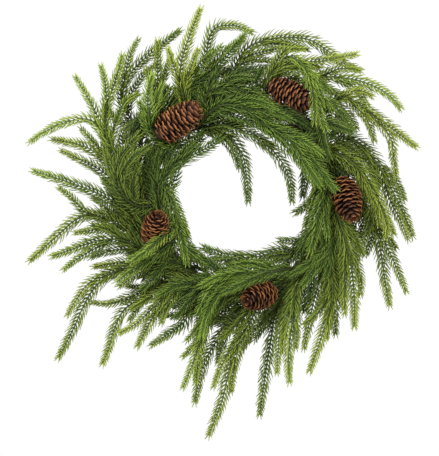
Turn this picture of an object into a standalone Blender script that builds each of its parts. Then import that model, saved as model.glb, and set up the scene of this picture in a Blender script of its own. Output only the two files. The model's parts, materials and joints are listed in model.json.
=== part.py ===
# Fresh evergreen wreath: three twisted vines carry 46 drooping sprigs of
# soft-needled evergreen and 5 pine cones on wire picks.
# The wreath hangs in the XZ plane and faces -Y. The origin is the place on the
# inner top of the vine ring that rests on a hook. Lengths below are in mm.
import math

import bmesh
import bpy
import numpy as np
from mathutils import Vector

NAME = "fresh_evergreen_wreath"
MM = 0.001

# Vine ring: three vines twisted about one centreline circle
RING_RADIUS = 132.0        # centreline circle
VINE_RADIUS = 5.95         # one vine
VINE_HELIX = 7.4           # from the centreline to each vine's own centre
VINE_TURNS = 6             # twists in one round, so each vine closes on itself
VINE_COUNT = 3
VINE_STATIONS = 60
HULL = VINE_HELIX + VINE_RADIUS
RING_CENTRE = Vector((0.0, 0.0, -(RING_RADIUS - HULL))) * MM

# Seats: the butt of each sprig and wire lies in the groove between two vines
SPRIG_SEAT = 10.1          # centre of a butt from the centreline
WIRE_SEAT = 7.7
BUTT_RADIUS = 2.4
WIRE_RADIUS = 0.9
SEAT_PITCH = 145.0         # length along a groove for one radian of the ring
SEAT_SPAN = 10.0           # degrees of the ring that one butt takes
SEAT_STEPS = ((0, 0.0), (8, 0.0), (16, 1.3), (25, 7.4))
SIDE_ANGLE = {"out": 30, "front": 78, "in": 140}

# Sprigs as plain spindles, thick where the needles stand densest
STEM_STEP = 30.0
FINGER_STEP = 34.0
GAP = 0.8                  # clear space kept between sprigs

# Pine cones
CONE_LENGTH = 68.0
CONE_RADIUS = 22.0
CONE_CORE = 12.0           # half length of the straight middle of a cone's envelope
TOUCH = 0.4                # gap between touching pieces

# Each sprig: clock angle of its butt, its way round (1 clockwise), the side of
# the ring it leaves from, how far forward its middle and its tip reach, its
# stem across the face (right, up from the ring's centre), and its fingers, each
# a share of the stem and the points that the finger passes.
SPRIGS = {
    "sprig_left_1": (268, 1, "out", 30, 12,
        [(-150, 42), (-177, 58), (-189, 88), (-189, 122), (-180, 152), (-171, 180), (-166, 204)],
        [(0.30, (-213, 108), (-240, 105), (-271, 92), (-301, 72)), (0.38, (-207, 124), (-236, 173)),
         (0.55, (-189, 150), (-198, 188)), (0.42, (-165, 128), (-140, 147)), (0.26, (-166, 92), (-141, 110))]),
    "sprig_left_2": (258, 1, "out", 18, 0,
        [(-158, 22), (-184, 45), (-209, 66), (-240, 76), (-272, 82)],
        [(0.36, (-214, 84), (-228, 101)), (0.24, (-205, 42), (-230, 54), (-259, 68)),
         (0.30, (-193, 74), (-190, 96))]),
    "sprig_left_3": (282, 1, "out", 8, 0,
        [(-140, 88), (-163, 120), (-168, 152), (-150, 178), (-118, 207), (-81, 236)],
        [(0.45, (-158, 192), (-142, 225)), (0.36, (-148, 158), (-118, 188)), (0.22, (-182, 112), (-196, 132))]),
    "sprig_left_4": (246, 1, "front", 48, 44,
        [(-150, -12), (-169, 12), (-171, 45), (-156, 70), (-138, 91)],
        [(0.25, (-150, 25), (-140, 52)), (0.35, (-185, 45), (-192, 70)), (0.5, (-150, 55), (-125, 72))]),
    "sprig_left_5": (240, 1, "out", 24, 14,
        [(-152, -25), (-182, -4), (-215, 11), (-255, 25), (-297, 38)],
        [(0.22, (-176, 14), (-184, 38)), (0.18, (-178, -28), (-203, -40)), (0.24, (-189, 16), (-197, 32))]),
    "sprig_left_6": (233, 1, "out", 10, 6,
        [(-142, -58), (-168, -42), (-196, -24), (-226, -28), (-258, -54), (-301, -93)],
        [(0.36, (-216, -22), (-233, -4), (-260, 17)), (0.30, (-195, -6), (-212, 2)),
         (0.25, (-200, -44), (-239, -50)), (0.15, (-165, -30), (-147, -25))]),
    "sprig_left_7": (225, 1, "out", 22, 12,
        [(-140, -72), (-170, -60), (-200, -61), (-236, -73), (-271, -85)],
        [(0.50, (-230, -87), (-253, -105)), (0.28, (-190, -76), (-218, -87)), (0.24, (-190, -44), (-216, -38))]),
    "sprig_left_8": (217, 1, "front", 34, 14,
        [(-128, -95), (-163, -99), (-195, -115), (-217, -145), (-236, -186), (-259, -230)],
        [(0.32, (-214, -121), (-233, -148), (-246, -170)), (0.22, (-187, -92), (-213, -99)),
         (0.2, (-160, -118), (-176, -128))]),
    "sprig_left_9": (207, 1, "out", 12, 2,
        [(-115, -120), (-140, -142), (-163, -157), (-178, -185), (-187, -214), (-197, -240)],
        [(0.34, (-182, -148), (-216, -147)), (0.18, (-146, -128), (-168, -124)), (0.3, (-150, -160), (-160, -178))]),
    "sprig_foot_1": (198, 1, "front", 40, 20,
        [(-92, -120), (-114, -148), (-132, -180), (-149, -213)],
        [(0.45, (-147, -175), (-176, -192)), (0.25, (-130, -140), (-160, -158)), (0.3, (-106, -155), (-114, -182))]),
    "sprig_foot_2": (188, 1, "out", 14, 4,
        [(-62, -140), (-72, -166), (-98, -187), (-132, -211)],
        [(0.3, (-88, -166), (-112, -166)), (0.2, (-60, -168), (-62, -196))]),
    "sprig_foot_3": (176, 1, "front", 30, 20,
        [(-33, -145), (-49, -175), (-58, -205), (-62, -235), (-65, -263)],
        [(0.3, (-64, -184), (-82, -204)), (0.42, (-70, -213), (-87, -227)), (0.5, (-72, -240), (-85, -271))]),
    "sprig_foot_4": (166, 1, "out", 12, 0,
        [(0, -150), (-20, -180), (-40, -207), (-54, -235), (-62, -265), (-67, -294)],
        [(0.22, (-30, -170), (-56, -176)), (0.35, (-30, -212), (-36, -238)), (0.15, (-5, -185), (-12, -208))]),
    "sprig_foot_5": (156, 1, "front", 26, 14,
        [(24, -150), (10, -184), (-8, -213), (-18, -245), (-28, -285), (-49, -339)],
        [(0.28, (-22, -225), (-33, -250), (-41, -271)), (0.42, (-12, -250), (-15, -279)),
         (0.15, (-8, -184), (-33, -203))]),
    "sprig_foot_6": (146, 1, "out", 14, 4,
        [(52, -145), (45, -175), (39, -205), (33, -245), (28, -280), (24, -311)],
        [(0.12, (30, -170), (12, -192), (-2, -218)), (0.18, (26, -186), (14, -206)), (0.2, (56, -180), (62, -205))]),
    "sprig_foot_7": (136, 1, "front", 36, 24,
        [(74, -130), (70, -160), (67, -192), (64, -226), (66, -264)],
        [(0.15, (54, -180), (50, -215), (48, -251)), (0.3, (77, -185), (76, -217)), (0.3, (56, -190), (55, -222))]),
    "sprig_right_9": (114, 1, "front", 28, 16,
        [(118, -92), (126, -125), (120, -162), (108, -202), (92, -249)],
        [(0.38, (100, -166), (80, -181)), (0.5, (118, -185), (117, -203)),
         (0.12, (105, -128), (97, -158), (91, -190), (85, -218)), (0.25, (112, -140), (107, -162))]),
    "sprig_right_8": (104, 1, "out", 10, 0,
        [(128, -72), (131, -108), (128, -150), (131, -198)],
        [(0.28, (118, -122), (112, -150)), (0.35, (138, -128), (138, -158)), (0.5, (121, -160), (121, -186))]),
    "sprig_right_7": (92, 1, "front", 40, 24,
        [(137, -38), (147, -74), (153, -110), (156, -150), (156, -187)],
        [(0.28, (143, -115), (141, -142), (142, -169)), (0.3, (163, -105), (165, -142)), (0.15, (160, -62), (170, -86))]),
    "sprig_right_6": (76, 1, "out", 14, 4,
        [(158, 8), (177, -18), (188, -50), (195, -85), (200, -120), (208, -158)],
        [(0.3, (205, -76), (218, -106), (231, -138)), (0.33, (204, -56), (219, -76)),
         (0.3, (180, -66), (171, -86)), (0.15, (170, -32), (164, -62))]),
    "sprig_right_5": (60, 1, "front", 44, 30,
        [(138, 57), (162, 38), (180, 10), (194, -18), (205, -40), (213, -58)],
        [(0.35, (186, -12), (190, -44)), (0.2, (165, 12), (172, -14)), (0.5, (198, -30), (199, -62))]),
    "sprig_right_4": (47, 1, "out", 14, 4,
        [(138, 84), (170, 70), (192, 40), (210, 8), (227, -26), (241, -61)],
        [(0.48, (206, -5), (222, -36), (234, -66)), (0.42, (216, 20), (230, -8)), (0.25, (182, 35), (190, 4))]),
    "sprig_right_3": (33, 1, "out", 26, 10,
        [(108, 124), (140, 139), (170, 123), (198, 103), (225, 83), (248, 66)],
        [(0.45, (203, 88), (210, 55), (215, 22)), (0.22, (148, 116), (163, 90)),
         (0.32, (176, 104), (186, 72)), (0.25, (165, 148), (185, 137))]),
    "sprig_right_2": (14, 1, "out", 12, 4,
        [(80, 150), (110, 167), (145, 166), (180, 157), (205, 143), (226, 120)],
        [(0.28, (138, 180), (171, 176)), (0.25, (125, 150), (152, 134)), (0.42, (162, 150), (180, 124))]),
    "sprig_right_1": (356, 1, "front", 30, 12,
        [(34, 163), (64, 186), (98, 188), (132, 193), (166, 201)],
        [(0.25, (62, 203), (92, 203)), (0.35, (92, 174), (116, 168))]),
    "sprig_crown_1": (338, 1, "out", 12, 2,
        [(-16, 160), (-6, 190), (16, 214), (50, 221), (85, 222), (112, 210), (140, 188), (171, 176)],
        [(0.25, (35, 204), (66, 209)), (0.4, (74, 211), (99, 205)), (0.2, (20, 192), (45, 190))]),
    "sprig_crown_2": (328, 1, "out", 6, 0,
        [(-47, 150), (-50, 185), (-47, 220), (-33, 240), (-12, 240), (20, 228)],
        [(0.2, (-38, 190), (-16, 208), (6, 222)), (0.1, (-60, 165), (-70, 188))]),
    "sprig_crown_3": (311, 1, "front", 24, 10,
        [(-85, 130), (-90, 160), (-87, 190), (-76, 222), (-57, 269)],
        [(0.3, (-73, 187), (-62, 212)), (0.35, (-99, 190), (-105, 212))]),
    "sprig_crown_4": (306, 1, "out", 14, 4,
        [(-104, 108), (-112, 140), (-113, 178), (-115, 223)],
        [(0.45, (-103, 175), (-96, 202)), (0.35, (-123, 163), (-133, 184))]),
    "sprig_face_1": (292, 1, "front", 50, 44,
        [(-123, 78), (-130, 108), (-132, 140), (-124, 171)],
        [(0.2, (-140, 110), (-147, 135)), (0.4, (-119, 135), (-110, 158))]),
    "sprig_face_2": (298, 1, "front", 22, 20,
        [(-110, 112), (-96, 137), (-74, 152), (-46, 171), (-20, 197), (8, 232)],
        [(0.18, (-66, 141), (-42, 132)), (0.24, (-62, 161), (-30, 176)),
         (0.42, (-50, 192), (-25, 213)), (0.35, (-72, 172), (-62, 188))]),
    "sprig_face_3": (322, 1, "front", 34, 46,
        [(-52, 138), (-30, 152), (0, 150), (30, 135), (60, 111)],
        [(0.25, (-12, 166), (18, 166)), (0.35, (5, 135), (30, 115))]),
    "sprig_face_4": (326, 1, "front", 44, 54,
        [(-46, 116), (-20, 128), (15, 119), (50, 99), (87, 79)],
        [(0.25, (10, 134), (48, 118)), (0.25, (-5, 112), (30, 96), (60, 76)), (0.5, (50, 115), (74, 103))]),
    "sprig_face_5": (350, 1, "front", 58, 58,
        [(18, 112), (50, 88), (82, 62), (110, 32), (136, 0)],
        [(0.35, (90, 72), (114, 55)), (0.3, (66, 62), (88, 38), (103, 12)), (0.55, (96, 32), (112, 8))]),
    "sprig_face_6": (358, 1, "front", 40, 60,
        [(36, 160), (62, 190), (87, 175), (100, 145), (107, 112), (117, 85)],
        [(0.3, (84, 192), (104, 178)), (0.55, (112, 135), (128, 112)), (0.6, (98, 118), (97, 92))]),
    "sprig_face_7": (66, 1, "front", 46, 40,
        [(120, 14), (107, -12), (102, -45), (92, -86)],
        [(0.3, (114, -35), (118, -62)), (0.35, (92, -40), (84, -66))]),
    "sprig_face_8": (82, 1, "front", 28, 34,
        [(130, -42), (126, -72), (106, -96), (82, -126)],
        [(0.3, (112, -75), (95, -92)), (0.4, (122, -100), (112, -122)), (0.55, (88, -98), (62, -112))]),
    "sprig_face_9": (136, 1, "front", 40, 40,
        [(50, -98), (15, -104), (-25, -113), (-48, -137), (-63, -166)],
        [(0.25, (2, -120), (-31, -133), (-50, -165), (-57, -200)), (0.15, (12, -90), (-20, -92)),
         (0.4, (-42, -112), (-62, -125))]),
    "sprig_face_10": (162, 1, "front", 26, 24,
        [(-12, -116), (-50, -120), (-90, -138), (-128, -169)],
        [(0.3, (-85, -121), (-122, -141)), (0.35, (-76, -145), (-98, -172)), (0.15, (-30, -148), (-58, -170))]),
    "sprig_face_11": (192, 1, "front", 20, 30,
        [(-74, -96), (-98, -90), (-118, -104), (-142, -132)],
        [(0.3, (-120, -85), (-146, -88)), (0.2, (-78, -80), (-95, -68))]),
    "sprig_inner_1": (312, 1, "in", 26, 22,
        [(-40, 104), (-10, 95), (20, 84), (46, 66)],
        [(0.3, (-8, 75), (4, 36), (8, -12)), (0.24, (-14, 68), (-4, 38)),
         (0.75, (58, 48), (66, 18), (69, -12)), (0.15, (-35, 90), (-10, 84))]),
    "sprig_inner_2": (18, 1, "in", 14, 8,
        [(78, 88), (88, 60), (88, 28), (84, -6)],
        [(0.3, (98, 52), (102, 25))]),
    "sprig_inner_3": (50, 1, "in", 24, 26,
        [(110, 38), (108, 14), (95, -8), (70, -25)],
        [(0.45, (95, -22), (87, -47))]),
    "sprig_inner_4": (108, 1, "in", 22, 16,
        [(88, -76), (60, -73), (30, -82), (-2, -85), (-32, -80), (-60, -68)],
        [(0.08, (72, -62), (46, -60)), (0.35, (5, -98), (-28, -96)), (0.6, (-35, -92), (-62, -90))]),
    "sprig_inner_5": (292, -1, "in", 30, 50,
        [(-106, 14), (-96, -18), (-91, -44), (-116, -66), (-150, -91), (-183, -117)],
        [(0.32, (-82, -70), (-77, -96)), (0.16, (-84, -30), (-72, -62)), (0.6, (-145, -75), (-168, -82))]),
    "sprig_inner_6": (240, 1, "in", 20, 16,
        [(-112, 6), (-101, 34), (-76, 53), (-47, 68), (-22, 88)],
        [(0.2, (-90, 58), (-66, 80)), (0.4, (-72, 72), (-48, 94)), (0.12, (-119, 36), (-113, 68))]),
}

# Each cone: its middle across the face, its forward reach, the way its tip
# points (right, up, forward), and the clock angle of its wire's seat
CONES = {
    "cone_1": ((-87, 106), 42, (0.80, 0.56, 0.20), 286),
    "cone_2": ((67, 140), 38, (0.72, -0.62, 0.30), 354),
    "cone_3": ((147, -6), 40, (0.14, -0.93, 0.34), 58),
    "cone_4": ((25, -136), 52, (-0.72, -0.12, 0.68), 138),
    "cone_5": ((-123, -41), 48, (0.06, 0.80, 0.60), 220),
}


def ring_point(theta, rho, phi):
    """Point rho from the centreline; phi runs from outward (0) to the front."""
    out = np.array([math.sin(theta), 0.0, math.cos(theta)])
    front = np.array([0.0, -1.0, 0.0])
    return RING_RADIUS * out + rho * (math.cos(phi) * out + math.sin(phi) * front)


def vine_angle(theta, vine):
    return VINE_TURNS * theta + math.radians(60 + 120 * vine)


def groove_angle(theta, groove):
    return VINE_TURNS * theta + math.radians(120 * groove)


def smooth_path(points, step=None, count=None):
    """Even points on a smooth curve through the given ones."""
    p = np.array(points, float)
    p = np.vstack([2 * p[0] - p[1], p, 2 * p[-1] - p[-2]])
    dense = []
    for i in range(1, len(p) - 2):
        a, b, c, d = p[i - 1:i + 3]
        for t in np.linspace(0, 1, 12, endpoint=False):
            dense.append(0.5 * (2 * b + (c - a) * t + (2 * a - 5 * b + 4 * c - d) * t * t
                                + (3 * b - a - 3 * c + d) * t ** 3))
    dense = np.array(dense + [p[-2]])
    run = run_lengths(dense)
    n = count or max(2, int(round(run[-1] / step)) + 1)
    return at_runs(dense, run, np.linspace(0, run[-1], n))


def run_lengths(points):
    return np.r_[0, np.cumsum(np.linalg.norm(np.diff(points, axis=0), axis=1))]


def at_runs(points, run, where):
    return np.stack([np.interp(where, run, points[:, k]) for k in range(3)], -1)


def choose_seats(wanted):
    """Give each butt the nearest free stretch of groove that faces its side."""
    seats = {}
    for name in list(wanted) * 4:
        angle, turn, facing = wanted[name]
        taken = [seat[3:] for other, seat in seats.items() if other != name]
        best = None
        for shift in range(-16, 17, 2):
            start = angle + shift
            low, high = sorted((start, start + turn * SEAT_SPAN))
            for groove in range(VINE_COUNT):
                phi = math.degrees(groove_angle(math.radians(start + turn * 7), groove))
                off = abs((phi - facing + 180) % 360 - 180)
                clash = sum(g == groove and any(low - 0.7 + k < b and high + 0.7 + k > a
                                                for k in (-360, 0, 360))
                            for a, b, g in taken)
                cost = (off / 25) ** 1.5 + abs(shift) / 8 + clash * 20
                if best is None or cost < best[0] - 1e-9:
                    best = (cost, math.radians(start), groove, low, high, groove)
        seats[name] = best
    return {name: best[1:3] for name, best in seats.items()}


def butt_points(theta, groove, turn, seat):
    points = []
    for run, rise in SEAT_STEPS:
        t = theta + turn * run / SEAT_PITCH
        points.append(ring_point(t, seat + rise, groove_angle(t, groove)))
    return points


def plan_twigs():
    """Every stem, finger and wire as a row of points, before they settle."""
    wanted = {n + "_wire": (row[3], 1, SIDE_ANGLE["front"]) for n, row in CONES.items()}
    wanted.update({n: (row[0], row[1], SIDE_ANGLE[row[2]]) for n, row in SPRIGS.items()})
    seats = choose_seats(wanted)
    twigs = []
    for name, (angle, turn, side, middle, tip, stem, fingers) in SPRIGS.items():
        butt = butt_points(*seats[name], turn, SPRIG_SEAT)
        free = []
        for i, (x, z) in enumerate(stem):
            f = (i + 1) / len(stem)
            reach = -butt[-1][1]
            if f < 0.4:
                reach += (middle - reach) * f / 0.4
            else:
                reach = middle + (tip - middle) * ((f - 0.4) / 0.6) ** 1.5
            free.append((x, -reach, z))
        path = np.vstack([butt, smooth_path([butt[-1]] + free, STEM_STEP)[1:]])
        first = len(butt) - 1
        parent = len(twigs)
        twigs.append({"node": name, "points": path, "fixed": 3, "parent": None, "first": first})
        run = run_lengths(path[first:])
        for j, (share, *way) in enumerate(fingers):
            base = at_runs(path[first:], run, share * run[-1])
            reach = -base[1]
            end = reach + (tip - reach) * 0.6 + (10, -8, 6, -10, 8)[j]
            points = [base]
            for q, (x, z) in enumerate(way):
                w = (q + 1) / len(way)
                points.append((x, -(reach + (end - reach) * w + 4 * math.sin(math.pi * w)), z))
            finger = smooth_path(points, FINGER_STEP)
            if len(finger) < 3:
                finger = smooth_path(points, count=3)
            twigs.append({"node": name, "points": finger, "fixed": 0, "parent": parent, "share": share})
    for name, ((x, z), reach, way, angle) in CONES.items():
        butt = butt_points(*seats[name + "_wire"], 1, WIRE_SEAT)
        axis = cone_axis(way)
        end = np.array([x, -reach, z]) - axis * (CONE_LENGTH / 2 + TOUCH)
        path = smooth_path([butt[-1], end - axis * 9], 12.0)
        twigs.append({"node": name + "_wire", "points": np.vstack([butt, path[1:], end]), "fixed": 3,
                      "parent": None, "first": len(butt) - 1, "held_end": True})
    return twigs


def cone_axis(way):
    right, up, forward = way
    axis = np.array([right, -forward, up], float)
    return axis / np.linalg.norm(axis)


def twig_radii(twig):
    n = len(twig["points"])
    if twig.get("held_end"):
        return np.full(n, WIRE_RADIUS)
    if twig["parent"] is not None:
        return np.interp(np.linspace(0, 1, n), (0, 0.35, 0.7, 1), (1.9, 3.0, 2.7, 1.2))
    radii = np.full(n, BUTT_RADIUS)
    f = np.linspace(0, 1, n - twig["first"])
    radii[twig["first"]:] = np.interp(f, (0, 0.25, 0.6, 1), (BUTT_RADIUS, 3.4, 3.2, 1.4))
    return radii


def nearest(p, q, r, s):
    """Where segments p-q and r-s come nearest, and the step between them."""
    d, e, g = q - p, s - r, p - r
    a, b, c = (d * d).sum(1), (d * e).sum(1), (d * g).sum(1)
    h, f = np.maximum((e * e).sum(1), 1e-9), (e * g).sum(1)
    den = a * h - b * b
    u = np.where(den > 1e-9, np.clip((b * f - c * h) / np.where(den > 1e-9, den, 1), 0, 1), 0.0)
    v = (b * u + f) / h
    w = np.clip(v, 0, 1)
    u = np.where(v != w, np.clip((w * b - c) / np.maximum(a, 1e-9), 0, 1), u)
    return u, w, (p + d * u[:, None]) - (r + e * w[:, None])


def settle(twigs, rounds=340):
    """Ease the twigs apart until none touches another sprig, the ring or a cone."""
    start = np.cumsum([0] + [len(t["points"]) for t in twigs])
    rest = np.vstack([t["points"] for t in twigs])
    pos = rest.copy()
    rad = np.concatenate([twig_radii(t) for t in twigs])
    nodes = sorted({t["node"] for t in twigs})
    owner = np.concatenate([np.full(len(t["points"]), nodes.index(t["node"])) for t in twigs])
    free = np.ones(len(pos))
    for i, t in enumerate(twigs):
        free[start[i]:start[i] + t["fixed"]] = 0
        if t.get("held_end"):
            free[start[i + 1] - 2:start[i + 1]] = 0
    a = np.concatenate([np.arange(start[i], start[i + 1] - 1) for i in range(len(twigs))])
    b = a + 1
    seg_rad = np.maximum(rad[a], rad[b])
    wire = np.concatenate([np.full(len(t["points"]), bool(t.get("held_end"))) for t in twigs])[a]
    inner = np.setdiff1d(np.arange(len(pos)), np.r_[start[:-1], start[1:] - 1])
    tips = start[1:] - 1
    cones = []
    for (x, z), reach, way, angle in CONES.values():
        axis = cone_axis(way)
        middle = np.array([x, -reach, z], float)
        cones.append((middle - axis * CONE_CORE, middle + axis * CONE_CORE))

    def clear_ring(p, limit):
        out = p * np.array([1, 0, 1])
        out /= np.linalg.norm(out, axis=1)[:, None]
        away = p - out * RING_RADIUS
        far = np.linalg.norm(away, axis=1)
        return away / far[:, None] * np.maximum(limit - far, 0)[:, None]

    for step in range(rounds):
        if step % 10 == 0:
            low = np.minimum(pos[a], pos[b]) - seg_rad[:, None] - 4
            high = np.maximum(pos[a], pos[b]) + seg_rad[:, None] + 4
            i, j = np.triu_indices(len(a), 1)
            near = (owner[a][i] != owner[a][j]) & (low[i] <= high[j]).all(1) & (high[i] >= low[j]).all(1)
            i, j = i[near], j[near]
        u, v, gap = nearest(pos[a[i]], pos[b[i]], pos[a[j]], pos[b[j]])
        far = np.linalg.norm(gap, axis=1)
        need = seg_rad[i] + seg_rad[j] + GAP
        hit = far < need
        push = gap[hit] / np.maximum(far[hit], 1e-6)[:, None]
        flat = far[hit] < 0.5
        side = np.where(rest[a[i[hit]], 1] <= rest[a[j[hit]], 1], -1.0, 1.0)[flat]
        push[flat] = np.stack([0 * side, side, 0 * side], 1)
        push *= ((need - far)[hit] * 0.5)[:, None]
        shift, count = np.zeros_like(pos), np.zeros(len(pos))
        for which, share, sign in ((a[i], 1 - u, 1), (b[i], u, 1), (a[j], 1 - v, -1), (b[j], v, -1)):
            np.add.at(shift, which[hit], sign * push * np.maximum(share[hit], 0.3)[:, None])
            np.add.at(count, which[hit], 1.0)
        pos += shift / np.maximum(np.sqrt(count), 1)[:, None] * free[:, None] * 1.1
        loose = free > 0.5
        pos[loose] += clear_ring(pos[loose], (HULL + rad + 1.4)[loose]) * 0.6
        both = loose[a] & loose[b]
        push = clear_ring((pos[a] + pos[b])[both] / 2, (HULL + seg_rad + 1.4)[both]) * 0.6
        np.add.at(pos, a[both], push)
        np.add.at(pos, b[both], push)
        for end_1, end_2 in cones:
            u, v, gap = nearest(pos[a], pos[b], np.tile(end_1, (len(a), 1)), np.tile(end_2, (len(a), 1)))
            far = np.linalg.norm(gap, axis=1)
            hit = (far < CONE_RADIUS + seg_rad + 1.2) & ~wire
            push = gap[hit] * ((CONE_RADIUS + seg_rad + 1.2) / far - 1)[hit][:, None]
            np.add.at(pos, a[hit], push * (np.maximum(1 - u[hit], 0.3) * free[a[hit]])[:, None])
            np.add.at(pos, b[hit], push * (np.maximum(u[hit], 0.3) * free[b[hit]])[:, None])
        pos[:, 1] = np.minimum(pos[:, 1], HULL - rad)      # the back stays flat
        moved = pos - rest
        even = moved.copy()
        even[inner] = 0.5 * moved[inner] + 0.25 * (moved[inner - 1] + moved[inner + 1])
        even[tips] = 0.6 * moved[tips] + 0.4 * moved[tips - 1]
        pos += (even - moved) * (0.35 if step < rounds - 80 else 0.06) * free[:, None]
        if step < rounds - 100:
            pos -= (pos - rest) * np.array([0.03, 0.012, 0.03]) * free[:, None]
        for k, t in enumerate(twigs):
            if t["parent"] is not None:
                low = start[t["parent"]] + twigs[t["parent"]]["first"]
                high = start[t["parent"] + 1]
                run = run_lengths(rest[low:high])
                pos[start[k]] = at_runs(pos[low:high], run, t["share"] * run[-1])
    for k, t in enumerate(twigs):
        t["points"] = pos[start[k]:start[k + 1]]
        t["radii"] = rad[start[k]:start[k + 1]]
    return twigs


def material(name, colour, roughness):
    mat = bpy.data.materials.new(name)
    mat.use_nodes = True
    shader = mat.node_tree.nodes["Principled BSDF"]
    shader.inputs["Base Color"].default_value = (*colour, 1.0)
    shader.inputs["Roughness"].default_value = roughness
    shader.inputs["Metallic"].default_value = 0.0
    mat.diffuse_color = (*colour, 1.0)
    return mat


def tube_curve(name, points, radii, resolution, cyclic=False):
    """A filled tube along the points; radii are in mm."""
    curve = bpy.data.curves.new(name, "CURVE")
    curve.dimensions = "3D"
    curve.bevel_depth = MM
    curve.bevel_resolution = resolution
    curve.resolution_u = 1
    curve.use_fill_caps = not cyclic
    spline = curve.splines.new("POLY")
    spline.points.add(len(points) - 1)
    for point, co, radius in zip(spline.points, points, radii):
        point.co = (*(Vector(co) * MM), 1.0)
        point.radius = radius
    spline.use_cyclic_u = cyclic
    obj = bpy.data.objects.new(name, curve)
    bpy.context.scene.collection.objects.link(obj)
    return obj


def drop_slivers(work):
    """Take away the flat slivers that a union can leave beside its skin."""
    work.verts.index_update()
    alike = {}
    for face in work.faces:
        alike.setdefault(frozenset(v.index for v in face.verts), []).append(face)
    doubled = [f for faces in alike.values() for f in faces[:len(faces) // 2 * 2]]
    bmesh.ops.delete(work, geom=doubled, context="FACES")
    left, skin = set(work.faces), []
    while left:
        island, reached = [], [left.pop()]
        while reached:
            face = reached.pop()
            island.append(face)
            for other in {f for edge in face.edges for f in edge.link_faces} & left:
                left.remove(other)
                reached.append(other)
        skin = max(skin, island, key=len)
    loose = list(set(work.faces) - set(skin))
    bmesh.ops.delete(work, geom=loose, context="FACES")


def as_mesh(obj, name):
    """Replace a curve, or an object with modifiers, by its plain mesh."""
    bpy.context.view_layer.update()
    evaluated = obj.evaluated_get(bpy.context.evaluated_depsgraph_get())
    mesh = bpy.data.meshes.new_from_object(evaluated)
    work = bmesh.new()
    work.from_mesh(mesh)
    bmesh.ops.remove_doubles(work, verts=work.verts, dist=0.00002)
    if obj.type == "MESH":
        bmesh.ops.triangulate(work, faces=work.faces)
        drop_slivers(work)
    work.to_mesh(mesh)
    work.free()
    new = bpy.data.objects.new(name, mesh)
    new.matrix_world = obj.matrix_world
    bpy.context.scene.collection.objects.link(new)
    bpy.data.objects.remove(obj)
    return new


def finish(obj, name, mat, collection, angle=50):
    """Name the object, give it its material and file it with the wreath."""
    obj.name = name
    obj.data.name = name
    obj.data.materials.clear()
    obj.data.materials.append(mat)
    if obj.type == "MESH":
        obj.data.shade_smooth()
        obj.data.set_sharp_from_angle(angle=math.radians(angle))
    for other in list(obj.users_collection):
        other.objects.unlink(obj)
    collection.objects.link(obj)
    return obj


def place_at(obj, point):
    """Move the mesh's origin to the point and stand it there on the wreath."""
    offset = Vector(point) * MM
    for vertex in obj.data.vertices:
        vertex.co -= offset
    obj.location = RING_CENTRE + offset


def build_vine(number, mat, collection):
    points = []
    for i in range(VINE_STATIONS):
        theta = 2 * math.pi * i / VINE_STATIONS
        points.append(ring_point(theta, VINE_HELIX, vine_angle(theta, number)))
    tube = tube_curve("vine", points, [VINE_RADIUS] * len(points), 2, cyclic=True)
    vine = as_mesh(tube, "vine")
    vine.location = RING_CENTRE
    finish(vine, f"vine_{number + 1}", mat, collection)


def build_sprig(name, twigs, mat, collection):
    """Join a stem and its fingers into one solid."""
    pieces = []
    for twig in twigs:
        tube = tube_curve("twig", twig["points"], twig["radii"], 1)
        pieces.append(as_mesh(tube, "twig"))
    sprig, fingers = pieces[0], pieces[1:]
    for finger in fingers:
        union = sprig.modifiers.new("join", "BOOLEAN")
        union.operation = "UNION"
        union.solver = "MANIFOLD"
        union.object = finger
    sprig = as_mesh(sprig, "sprig")
    for finger in fingers:
        bpy.data.objects.remove(finger)
    place_at(sprig, twigs[0]["points"][0])
    finish(sprig, name, mat, collection)


def build_wire(name, twig, mat, collection):
    wire = as_mesh(tube_curve("wire", twig["points"], twig["radii"], 1), "wire")
    place_at(wire, twig["points"][0])
    finish(wire, name, mat, collection)


def build_cone(name, centre, reach, way, mat, collection):
    """A turned egg shape, base on the wire, tip along the axis."""
    shares = (0.0, 0.03, 0.12, 0.27, 0.45, 0.65, 0.82, 0.94, 1.0)
    widths = (0.22, 0.50, 0.86, 1.0, 0.97, 0.82, 0.58, 0.34, 0.12)
    profile = [(0.0, CONE_LENGTH)]
    profile += [(CONE_RADIUS * w, CONE_LENGTH * s) for s, w in zip(reversed(shares), reversed(widths))]
    profile += [(0.0, 0.0)]
    mesh = bpy.data.meshes.new(name)
    mesh.from_pydata([(x * MM, 0, z * MM) for x, z in profile],
                     [(i, i + 1) for i in range(len(profile) - 1)], [])
    cone = bpy.data.objects.new(name, mesh)
    bpy.context.scene.collection.objects.link(cone)
    screw = cone.modifiers.new("turn", "SCREW")
    screw.steps = 12
    screw.render_steps = 12
    screw.use_merge_vertices = True
    screw.merge_threshold = 0.00001
    axis = Vector(cone_axis(way))
    middle = Vector((centre[0], -reach, centre[1]))
    cone.rotation_mode = "QUATERNION"
    cone.rotation_quaternion = axis.to_track_quat("Z", "Y")
    cone.location = RING_CENTRE + (middle - axis * CONE_LENGTH / 2) * MM
    finish(cone, name, mat, collection)


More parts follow.
